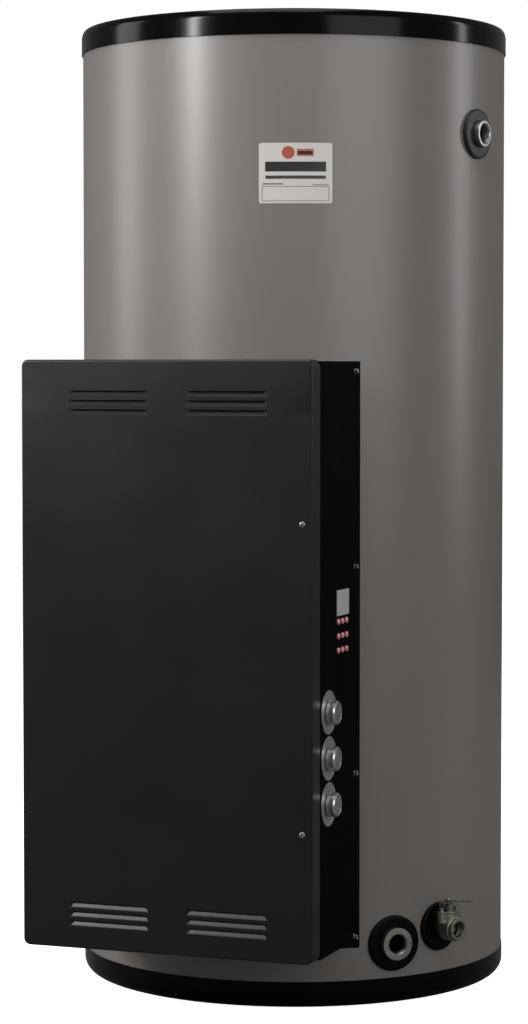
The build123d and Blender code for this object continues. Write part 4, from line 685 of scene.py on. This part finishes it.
def cut_openings(jacket):
    """Cuts the round holes that the pipe fittings and the element necks pass through."""
    low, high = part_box("element_necks")
    reach = (high.x - low.x) / 2
    neck_heights = (low.z + reach, (low.z + high.z) / 2, high.z - reach)
    holes = [
        (OUTLET_BEARING, OUTLET_HEIGHT, OUTLET_HOLE),
        (INLET_BEARING, INLET_HEIGHT, INLET_HOLE),
        (DRAIN_BEARING, DRAIN_HEIGHT, DRAIN_HOLE),
        *((0, height, NECK_HOLE) for height in neck_heights),
    ]
    for bearing, height, radius in holes:
        cutter = add_start("cylinder", vertices=64, radius=radius, depth=0.1)
        seat(cutter, jacket_place(bearing, height), bearing)
        modify(jacket, "BOOLEAN", operation="DIFFERENCE", object=cutter, solver="EXACT")
        bpy.data.objects.remove(cutter)


def raise_seam(jacket):
    """Raises the lap of the rolled jacket, a narrow strip up its back, by about the sheet's thickness."""
    edit(jacket)
    margin, half_lap, rise = 21 * MM, 12 * MM, 0.85 * MM
    low, high = JACKET_LOW.z + margin, JACKET_HIGH.z - margin
    for level in (low, high):
        bpy.ops.mesh.select_all(action="SELECT")
        bpy.ops.mesh.bisect(plane_co=(0, 0, level), plane_no=(0, 0, 1))

    def in_lap(middle, way, face):
        return way.y > 0.9 and middle.y > 0 and abs(middle.x) < half_lap and low < middle.z < high

    if not pick(jacket, "FACE", in_lap):
        raise RuntimeError("no faces for the jacket's seam")
    bpy.ops.mesh.extrude_region_move(TRANSFORM_OT_translate={"value": (0, rise, 0)})
    clear()


class HEATER_OT_label(Operator):
    """Models the label and lays it on the jacket"""

    bl_idname = "heater.label"
    bl_label = "Label"

    def execute(self, context):
        low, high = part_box("rating_label")
        # The label's box is that of a bent sheet, so its width along the jacket is given here.
        wide, tall, strips = 109 * MM, high.z - low.z, 32
        label = add_start("plane", size=1, scale=(wide, tall, 1))
        edit(label)
        bpy.ops.mesh.bevel(affect="VERTICES", offset=3 * MM, segments=6)
        for strip in range(1, strips):
            bpy.ops.mesh.select_all(action="SELECT")
            bpy.ops.mesh.bisect(plane_co=((strip / strips - 0.5) * wide, 0, 0), plane_no=(1, 0, 0))
        clear()
        mesh = label.data
        while mesh.uv_layers:
            mesh.uv_layers.remove(mesh.uv_layers[0])
        print_map = mesh.uv_layers.new(name="print")
        for loop in mesh.loops:
            point = mesh.vertices[loop.vertex_index].co
            print_map.data[loop.index].uv = (point.x / wide + 0.5, point.y / tall + 0.5)
        radius = JACKET_RADIUS + JACKET_GAP
        for vertex in mesh.vertices:
            across = vertex.co.x / radius
            vertex.co = (radius * math.sin(across), vertex.co.y, radius * math.cos(across))
        modify(label, "SOLIDIFY", thickness=0.28 * MM, offset=1)
        seat(label, (0, 0, (low.z + high.z) / 2), LABEL_BEARING)
        smooth(label, 30)
        keep(label, "label_sheet", "heater", "printed_vinyl", "rating_label")
        return {"FINISHED"}


class HEATER_OT_door(Operator):
    """Folds the door from one sheet and presses its louvres inwards"""

    bl_idname = "heater.door"
    bl_label = "Door"

    def execute(self, context):
        sizes = context.scene.heater_sizes
        wide, depth, tall = DOOR_HIGH - DOOR_LOW
        middle_height = (DOOR_HIGH.z + DOOR_LOW.z) / 2
        door = add_start("plane", size=1, scale=(wide, tall, 1))
        edit(door)
        bpy.ops.mesh.bevel(affect="VERTICES", offset=sizes.door_corner, segments=8)
        # The face's border goes back as the door's sides, in two bands, and the rear band's corners are cut.
        slot = 28 * MM
        bpy.ops.mesh.select_all(action="SELECT")
        bpy.ops.mesh.select_mode(type="EDGE")
        bpy.ops.mesh.region_to_loop()
        bpy.ops.mesh.extrude_region_move(TRANSFORM_OT_translate={"value": (0, 0, slot - depth)})
        bpy.ops.mesh.extrude_region_move(TRANSFORM_OT_translate={"value": (0, 0, -slot)})
        inset = 3.2 * MM
        pick(
            door,
            "FACE",
            lambda middle, way, face: middle.z < -depth / 2
            and abs(middle.x) > wide / 2 - inset
            and abs(middle.y) > tall / 2 - inset,
        )
        bpy.ops.mesh.delete(type="FACE")
        pick(door, "EDGE", lambda middle, way, edge: abs(middle.z) < 1e-6)
        bpy.ops.mesh.bevel(affect="EDGES", offset=sizes.door_edge, segments=6)
        rows = [height - middle_height for height in LOUVRE_HEIGHTS]
        cuts = [
            ((side + end * LOUVRE_LENGTH / 2, 0, 0), (1, 0, 0)) for side in LOUVRE_SIDES for end in (-1, 1)
        ]
        cuts += [((0, row + end * LOUVRE_HEIGHT / 2, 0), (0, 1, 0)) for row in rows for end in (-1, 1)]
        for place, way in cuts:
            pick(door, "FACE", lambda middle, normal, face: abs(middle.z) < 1e-6)
            bpy.ops.mesh.bisect(plane_co=place, plane_no=way)

        def in_louvre(middle, margin):
            across = min(abs(middle.x - side) for side in LOUVRE_SIDES) < LOUVRE_LENGTH / 2 + margin
            return across and min(abs(middle.y - row) for row in rows) < LOUVRE_HEIGHT / 2 + margin

        found = pick(
            door, "FACE", lambda middle, way, face: abs(middle.z) < 1e-6 and in_louvre(middle, -1 * MM)
        )
        if found != len(LOUVRE_SIDES) * len(rows):
            raise RuntimeError(f"{found} louvre faces")
        # Two insets make the rounded rim. Each flap is then pushed in along its top edge, which leaves a
        # slot above it.
        bpy.ops.mesh.inset(thickness=0.7 * MM, depth=-0.8 * MM, use_individual=True)
        bpy.ops.mesh.inset(thickness=0.5 * MM, depth=-0.6 * MM, use_individual=True)
        rim, lip = 1.2 * MM, -1.4 * MM
        pick(
            door,
            "EDGE",
            lambda middle, way, edge: abs(middle.z - lip) < 1e-6
            and abs(way.x) > 0.9
            and min(abs(middle.y - row - LOUVRE_HEIGHT / 2 + rim) for row in rows) < 1e-4,
        )
        bpy.ops.transform.translate(value=(0, 0, -sizes.louvre_depth - lip))
        # The flap's top corners are drawn in, so that its ends slope.
        drawn_in = 5 * MM
        for end in (-1, 1):
            ends = [side + end * (LOUVRE_LENGTH / 2 - rim) for side in LOUVRE_SIDES]
            bpy.ops.mesh.select_mode(type="VERT")
            bpy.ops.mesh.select_all(action="DESELECT")
            for corner in bmesh.from_edit_mesh(door.data).verts:
                deep = abs(corner.co.z + sizes.louvre_depth) < 1e-5
                if deep and min(abs(corner.co.x - place) for place in ends) < 1e-4:
                    corner.select_set(True)
            bmesh.update_edit_mesh(door.data)
            bpy.ops.transform.translate(value=(-end * drawn_in, 0, 0))
        pick(
            door,
            "FACE",
            lambda middle, way, face: -sizes.louvre_depth < middle.z < lip
            and way.y < -0.8
            and in_louvre(middle, 0),
        )
        bpy.ops.mesh.delete(type="FACE")
        clear()
        # The drawn sheet is a little thinner than the real one, so that its folds clear the cabinet.
        thickness = sizes.door_sheet - 0.3 * MM
        modify(door, "SOLIDIFY", thickness=thickness, offset=-1, use_even_offset=False)
        round_edges(door, 0.25 * MM, 50)
        seat(door, (0, DOOR_LOW.y, middle_height), 0)
        smooth(door, 30)
        keep(door, "door_skin", "door", "door_powder_coat", "door_panel")
        return {"FINISHED"}


class HEATER_OT_cabinet(Operator):
    """Rounds the folds of the cabinet's sheets and the hinges"""

    bl_idname = "heater.cabinet"
    bl_label = "Cabinet"

    def execute(self, context):
        fold = context.scene.heater_sizes.sheet_edge
        for node in (
            "left_side_panel",
            "control_side_panel",
            "cabinet_top",
            "cabinet_bottom",
            "cabinet_back",
            "cabinet_brackets",
        ):
            eased(node, "black_powder_coat", fold)
        for node in ("hinge_cabinet_leaves", "hinge_door_leaves"):
            eased(node, "black_powder_coat", 0.25 * MM)
        eased("hinge_pins", "zinc_plate", 0.2 * MM)
        return {"FINISHED"}


def hex_screw(width, head, length_below, flange, edge):
    """A washer-head hexagon screw about its own origin, with its head outwards."""
    shank, washer = 2.1 * MM, 1.2 * MM
    skirt = turned(
        [
            (flange * 0.3, -length_below),
            (shank, -length_below + 1 * MM),
            (shank, 0),
            (flange - 0.2 * MM, 0),
            (flange, 0.2 * MM),
            (flange, 0.8 * MM),
            (flange - 0.5 * MM, washer),
            (0.3 * MM, washer),
        ],
        32,
    )
    middle_height = 1.1 * MM + head / 2
    nut = add_start(
        "cylinder", vertices=6, radius=width / math.sqrt(3), depth=head, location=(0, 0, middle_height)
    )
    edit(nut)
    pick(nut, "FACE", lambda middle, way, face: way.z > 0.9)
    bpy.ops.mesh.inset(thickness=width * 0.12)
    bpy.ops.mesh.inset(thickness=width * 0.08, depth=-head * 0.12)
    round_edges(nut, edge, 25)
    return joined([skirt, nut])


class HEATER_OT_screws(Operator):
    """Models one screw of each size and copies it to its places"""

    bl_idname = "heater.screws"
    bl_label = "Screws"

    def execute(self, context):
        edge = context.scene.heater_sizes.screw_edge
        screw = hex_screw(6.4 * MM, 4.3 * MM, 6 * MM, SCREW_FLANGE, edge)
        side = [
            seat(copied(screw), Vector((way * PANEL_FACE, PANEL_SCREW_DEPTH, height)), way * 90)
            for way in (-1, 1)
            for height in PANEL_SCREW_HEIGHTS
        ]
        low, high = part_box("jacket_seam_screws")
        lowest = low.z + SCREW_FLANGE
        step = (high.z - low.z - 2 * SCREW_FLANGE) / (SEAM_SCREWS - 1)
        back = [
            seat(copied(screw), jacket_place(180, lowest + place * step, JACKET_WALL), 180)
            for place in range(SEAM_SCREWS)
        ]
        bpy.data.objects.remove(screw)
        for pieces, name, node in (
            (side, "side_panel_screw_set", "side_panel_screws"),
            (back, "seam_screw_set", "jacket_seam_screws"),
        ):
            group = joined(pieces)
            smooth(group, 30)
            keep(group, name, "heater", "zinc_plate", node)
        # A door screw: a low round head with a slot across it, on a shank through the door.
        shank, rim, crown, tip = 2.5 * MM, 4.5 * MM, 3.3 * MM, -40 * MM
        head = turned(
            [
                (1 * MM, tip),
                (shank, tip + 1 * MM),
                (shank, 0),
                (rim, 0),
                (rim, 1.8 * MM),
                *arc((2.2 * MM, 1.4 * MM), (2.3 * MM, 1.8 * MM), 10, 90, 6),
                (0.4 * MM, crown),
            ],
            48,
        )
        blade = add_start("cube", size=1, scale=(1.8 * MM, 12 * MM, 3 * MM), location=(0, 0, crown))
        modify(head, "BOOLEAN", operation="DIFFERENCE", object=blade, solver="EXACT")
        bpy.data.objects.remove(blade)
        round_edges(head, 0.15 * MM, 40)
        group = joined(
            [
                seat(copied(head), Vector((DOOR_SCREW_SIDE, DOOR_LOW.y, height)), 0)
                for height in DOOR_SCREW_HEIGHTS
            ]
        )
        bpy.data.objects.remove(head)
        smooth(group, 30)
        keep(group, "door_screw_set", "door", "zinc_plate", "door_screws")
        eased("element_flange_bolts", "zinc_plate", 0.4 * MM)
        return {"FINISHED"}


class HEATER_OT_dials(Operator):
    """Turns the three dial plates and their knobs"""

    bl_idname = "heater.dials"
    bl_label = "Dials"

    def execute(self, context):
        plate_hole, plate_radius, plate_face = 4.5 * MM, 31.7 * MM, 0.75 * MM
        knob_hole, knob_radius, knob_face, knob_gap = 3.1 * MM, 17.5 * MM, 12.8 * MM, 1.5 * MM
        plates = []
        for number, height in DIAL_HEIGHTS.items():
            place = Vector((PANEL_FACE, DIAL_DEPTH, height))
            plate = turned(
                [
                    (plate_hole, 0),
                    (31.6 * MM, 0),
                    (plate_radius, 0.2 * MM),
                    (plate_radius, 0.6 * MM),
                    (31.3 * MM, 1 * MM),
                    (29.6 * MM, 1 * MM),
                    (29.3 * MM, plate_face),
                    (4.9 * MM, plate_face),
                    (plate_hole, 0.6 * MM),
                    (plate_hole, 0),
                ],
                128,
            )
            plates.append(seat(plate, place, 90))
            # The knob's edge has two small steps round its face, and its back is bored for the spindle.
            knob = turned(
                [
                    (knob_hole, 0),
                    (16.6 * MM, 0),
                    (17.3 * MM, 0.4 * MM),
                    (knob_radius, 1 * MM),
                    (knob_radius, 10.6 * MM),
                    *arc((16.6 * MM, 10.6 * MM), (0.9 * MM, 0.7 * MM), 0, 45, 3),
                    (15.9 * MM, 12.7 * MM),
                    *arc((15.1 * MM, 12.4 * MM), (0.9 * MM, 0.8 * MM), 30, 90, 4),
                    (14.6 * MM, 13.0 * MM),
                    (14.2 * MM, knob_face),
                    (0.8 * MM, knob_face),
                    (0.8 * MM, 5 * MM),
                    (knob_hole, 5 * MM),
                    (knob_hole, 0),
                ],
                128,
            )
            seat(knob, place + Vector((knob_gap, 0, 0)), 90)
            smooth(knob, 30)
            keep(knob, f"knob_{number}", f"dial_{number}", "machined_aluminium", f"dial_knob_{number}")
            eased(f"dial_spindle_{number}", "turned_steel", 0.2 * MM)
        group = joined(plates)
        smooth(group, 30)
        keep(group, "dial_plate_set", "heater", "satin_aluminium", "dial_plates")
        eased("thermostat_bodies", "phenolic_moulding", 0.6 * MM)
        return {"FINISHED"}


class HEATER_OT_display(Operator):
    """Models the display window and the nine lamps below it"""

    bl_idname = "heater.display"
    bl_label = "Display and lamps"

    def execute(self, context):
        low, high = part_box("display_lens")
        deep, wide, tall = high - low
        lens = add_start("cube", size=1, scale=(wide, tall, deep))
        edit(lens)
        pick(lens, "EDGE", lambda middle, way, edge: abs(way.z) > 0.9)
        bpy.ops.mesh.bevel(affect="EDGES", offset=1.5 * MM, segments=5)
        pick(lens, "FACE", lambda middle, way, face: way.z > 0.9)
        bpy.ops.mesh.inset(thickness=1.6 * MM)
        clear()
        round_edges(lens, 0.12 * MM, 40)
        seat(lens, (low + high) / 2, 90)
        smooth(lens, 30)
        keep(lens, "display_window", "heater", "display_film", "display_lens")
        eased("display_module", "black_moulded_plastic", 0.6 * MM)
        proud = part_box("indicator_lamps")[1].x - PANEL_FACE
        back, shoulder, lamp_radius = -10 * MM, 0.05 * MM, 4.3 * MM
        dome = proud - 1.6 * MM
        lamps = []
        for depth in LAMP_DEPTHS:
            for height in LAMP_HEIGHTS:
                lamp = turned(
                    [
                        (0.4 * MM, back),
                        (3.6 * MM, back),
                        (3.7 * MM, shoulder),
                        (lamp_radius, shoulder),
                        (lamp_radius, dome),
                        *arc((0, dome), (4.15 * MM, 1.55 * MM), 8, 84, 8),
                    ],
                    40,
                )
                lamps.append(seat(lamp, Vector((PANEL_FACE, depth, height)), 90))
        group = joined(lamps)
        smooth(group, 35)
        keep(group, "lamp_set", "heater", "red_lamp_plastic", "indicator_lamps")
        return {"FINISHED"}


def thread(start, end, radius, pitch, depth):
    """The rings of a threaded bore, from one height to another."""
    turns = int(abs(end - start) / pitch)
    step = (end - start) / turns
    rings = []
    for turn in range(turns):
        rings += [(radius, start + turn * step), (radius - depth, start + (turn + 0.5) * step)]
    return [*rings, (radius, end)]


def fit_to_jacket(piece, bearing):
    """Slides the back rings of a seated piece along its bearing until they lie on the jacket."""
    away = outward(bearing)
    across = Vector((0, 0, 1)).cross(away)
    for vertex in piece.data.vertices:
        if vertex.co.dot(away) < JACKET_RADIUS:
            flat = vertex.co.dot(across)
            wanted = math.sqrt((JACKET_RADIUS + JACKET_GAP) ** 2 - flat**2)
            vertex.co += away * (wanted - vertex.co.dot(away))


class HEATER_OT_fittings(Operator):
    """Turns the pipe couplings, with their threads, and the cover rings round them"""

    bl_idname = "heater.fittings"
    bl_label = "Water fittings"

    def execute(self, context):
        sizes = context.scene.heater_sizes
        black, grey = "black_moulded_plastic", "grey_moulded_plastic"
        # Each fitting's bearing and height, then in mm its pipe's radius, how far its mouth and its cover
        # ring's face stand out from the jacket, and the ring's radius, and then its metal and its plastic.
        ends = {
            "outlet": (OUTLET_BEARING, OUTLET_HEIGHT, 20.0, 15.3, 6.0, 38.0, "turned_steel", grey),
            "inlet": (INLET_BEARING, INLET_HEIGHT, 24.5, 15.0, 5.0, 42.0, "dull_coupling_steel", black),
            "drain": (DRAIN_BEARING, DRAIN_HEIGHT, 13.35, 0, 5.0, 37.0, None, black),
        }
        bore, back = 15.15 * MM, -50 * MM
        core = bore - 2.15 * MM
        round_wide, round_tall, behind = 5.5 * MM, 2.2 * MM, -0.1 * MM
        for name, (bearing, height, pipe, mouth, face, cover, metal, plastic) in ends.items():
            pipe, mouth, face, cover = pipe * MM, mouth * MM, face * MM, cover * MM
            hole = pipe + 0.35 * MM
            rosette = turned(
                [
                    (hole, behind),
                    (hole, face - 0.5 * MM),
                    (hole + 0.5 * MM, face),
                    (cover - round_wide, face),
                    *arc((cover - round_wide, face - round_tall), (round_wide, round_tall), 75, 0, 8),
                    (cover, behind),
                    (hole, behind),
                ],
                128,
            )
            seat(rosette, jacket_place(bearing, height), bearing)
            fit_to_jacket(rosette, bearing)
            smooth(rosette)
            keep(rosette, f"{name}_cover_ring", "heater", plastic, f"{name}_rosette")
            if metal is None:
                continue
            first, last = mouth - 0.9 * MM, mouth - 14.5 * MM
            coupling = turned(
                [
                    (core, back),
                    (pipe, back),
                    (pipe, mouth - 0.8 * MM),
                    (pipe - 0.3 * MM, mouth - 0.2 * MM),
                    (pipe - 0.8 * MM, mouth),
                    (bore + 0.9 * MM, mouth),
                    *thread(first, last, bore, sizes.thread_pitch, sizes.thread_depth),
                    (core, last),
                    (core, back),
                ],
                96,
            )
            seat(coupling, jacket_place(bearing, height), bearing)
            smooth(coupling)
            keep(coupling, f"{name}_pipe_coupling", "heater", metal, f"{name}_coupling")
        return {"FINISHED"}


class HEATER_OT_drain(Operator):
    """Casts the drain valve and finishes its bonnet, stem, ball and lever"""

    bl_idname = "heater.drain"
    bl_label = "Drain valve"

    def execute(self, context):
        cast("drain_valve_body", "sand_cast_brass", 0.5 * MM)
        cast("drain_bonnet", "sand_cast_brass", 0.4 * MM)
        eased("drain_bonnet_screws", "zinc_plate", 0.3 * MM)
        eased("drain_ball", "polished_chrome", 0.3 * MM)
        eased("drain_stem", "turned_brass", 0.3 * MM)
        eased("drain_lever", "dull_zinc_plate", 0.5 * MM)
        return {"FINISHED"}


class HEATER_OT_controls(Operator):
    """Finishes the controls, fuses, wiring and flanges behind the door"""

    bl_idname = "heater.controls"
    bl_label = "Controls behind the door"

    def execute(self, context):
        # The rounding of each piece's edges, in mm. The leads are round already.
        for node, width in (
            ("contactor_housings", 1.2),
            ("contactor_armature_1", 0.8),
            ("contactor_armature_2", 0.8),
            ("contactor_armature_3", 0.8),
            ("fuse_blocks", 0.8),
            ("cartridge_fuses", 0.8),
            ("terminal_block", 0.8),
            ("limit_switch", 0.8),
            ("reset_button", 0.6),
            ("element_flanges", 0.8),
            ("element_gaskets", 0.3),
            ("element_necks", 0.8),
            ("element_leads", 0),
        ):
            eased(node, NODE_FINISHES[node], width * MM)
        return {"FINISHED"}


def add_light(name, place, aim, size, watts):
    """Adds a soft white panel light that points at a place."""
    clear()
    bpy.ops.object.light_add(type="AREA", location=place)
    lamp = bpy.context.object
    lamp.name = name
    lamp.data.shape = "RECTANGLE"
    lamp.data.size, lamp.data.size_y = size
    lamp.data.energy = watts
    lamp.rotation_euler = (Vector(aim) - Vector(place)).to_track_quat("-Z", "Y").to_euler()


class HEATER_OT_stage(Operator):
    """Sets the floor, the studio lights and the camera"""

    bl_idname = "heater.stage"
    bl_label = "Stage"

    def execute(self, context):
        floor = add_start("plane", size=40, location=(0, 0, -0.0005))
        edit(floor)
        bpy.ops.mesh.subdivide(number_cuts=4)
        clear()
        floor.name = "floor"
        # The floor and the room are white where they are looked at, and light the heater more dimly, as
        # black flags do in a studio.
        white = linear("#ffffff")
        ground = surface("pale_floor", linear("#f4f4f4"), 0.9, grain=4, relief=0.02, tone=0.01, patch=400)
        tree = ground.node_tree
        seen = add_node(tree, "ShaderNodeLightPath").outputs["Is Camera Ray"]
        glow = add_node(tree, "ShaderNodeMath", {0: seen, 1: 0.95}, operation="MULTIPLY")
        skin = tree.nodes["Principled BSDF"]
        pale = skin.inputs["Base Color"].links[0].from_socket
        tones = {"Fac": seen, "Color1": linear("#686868"), "Color2": pale}
        dimmed = add_node(tree, "ShaderNodeMixRGB", tones)
        tree.links.new(dimmed.outputs[0], skin.inputs["Base Color"])
        skin.inputs["Emission Color"].default_value = white
        tree.links.new(glow.outputs[0], skin.inputs["Emission Strength"])
        floor.data.materials.append(ground)
        world = bpy.data.worlds.new("studio")
        world.use_nodes = True
        tree = world.node_tree
        room = tree.nodes["Background"]
        room.inputs["Color"].default_value = white
        seen = add_node(tree, "ShaderNodeLightPath").outputs["Is Camera Ray"]
        level = add_node(tree, "ShaderNodeMapRange", {"Value": seen, "To Min": 0.16, "To Max": 1.0})
        tree.links.new(level.outputs[0], room.inputs["Strength"])
        context.scene.world = world
        context.scene.view_settings.view_transform = "Standard"
        add_light("front_left_panel", (-2.5, -3.85, 2.45), (0, 0, 1.2), (0.36, 1.5), 128)
        add_light("left_fill_panel", (-4.4, -1.0, 2.0), (0, 0, 0.9), (1.4, 2.2), 45)
        add_light("back_right_panel", (3.9, 2.1, 1.9), (0, 0, 0.8), (0.45, 2.2), 28)
        add_light("back_panel", (-1.54, 4.2, 2.4), (0, 0, 0.9), (1.0, 2.0), 40)
        add_light("front_right_panel", (4.1, -2.7, 2.0), (0, 0, 0.8), (3.4, 2.4), 62)
        add_light("top_panel", (0.0, -1.2, 4.6), (0, -0.1, 0.6), (3.0, 3.0), 130)
        tilt, turn = math.radians(87.14), math.radians(20.25)
        bpy.ops.object.camera_add(location=(1.568, -4.386, 0.962), rotation=(tilt, 0, turn))
        camera = context.object
        camera.name = "camera"
        camera.data.lens = 102.5
        camera.data.dof.use_dof = False
        context.scene.camera = camera
        clear()
        return {"FINISHED"}


STEPS = (
    HEATER_OT_finishes,
    HEATER_OT_casing,
    HEATER_OT_label,
    HEATER_OT_door,
    HEATER_OT_cabinet,
    HEATER_OT_screws,
    HEATER_OT_dials,
    HEATER_OT_display,
    HEATER_OT_fittings,
    HEATER_OT_drain,
    HEATER_OT_controls,
    HEATER_OT_stage,
)


class HEATER_PT_steps(Panel):
    """Lists the heater's settings and the steps that build it"""

    bl_label = "Tank water heater"
    bl_space_type = "VIEW_3D"
    bl_region_type = "UI"
    bl_category = "Heater"

    def draw(self, context):
        for group in (context.scene.heater_sizes, context.scene.heater_colours):
            for name in group.__annotations__:
                self.layout.prop(group, name)
        for step in STEPS:
            self.layout.operator(step.bl_idname)


CLASSES = (HeaterSizes, HeaterColours, *STEPS, HEATER_PT_steps)


def register():
    for kind in CLASSES:
        bpy.utils.register_class(kind)
    bpy.types.Scene.heater_sizes = PointerProperty(type=HeaterSizes)
    bpy.types.Scene.heater_colours = PointerProperty(type=HeaterColours)


def unregister():
    del bpy.types.Scene.heater_colours
    del bpy.types.Scene.heater_sizes
    for kind in reversed(CLASSES):
        bpy.utils.unregister_class(kind)


def main():
    register()
    for step in STEPS:
        group, name = step.bl_idname.split(".")
        getattr(getattr(bpy.ops, group), name)()


if __name__ == "__main__":
    main()
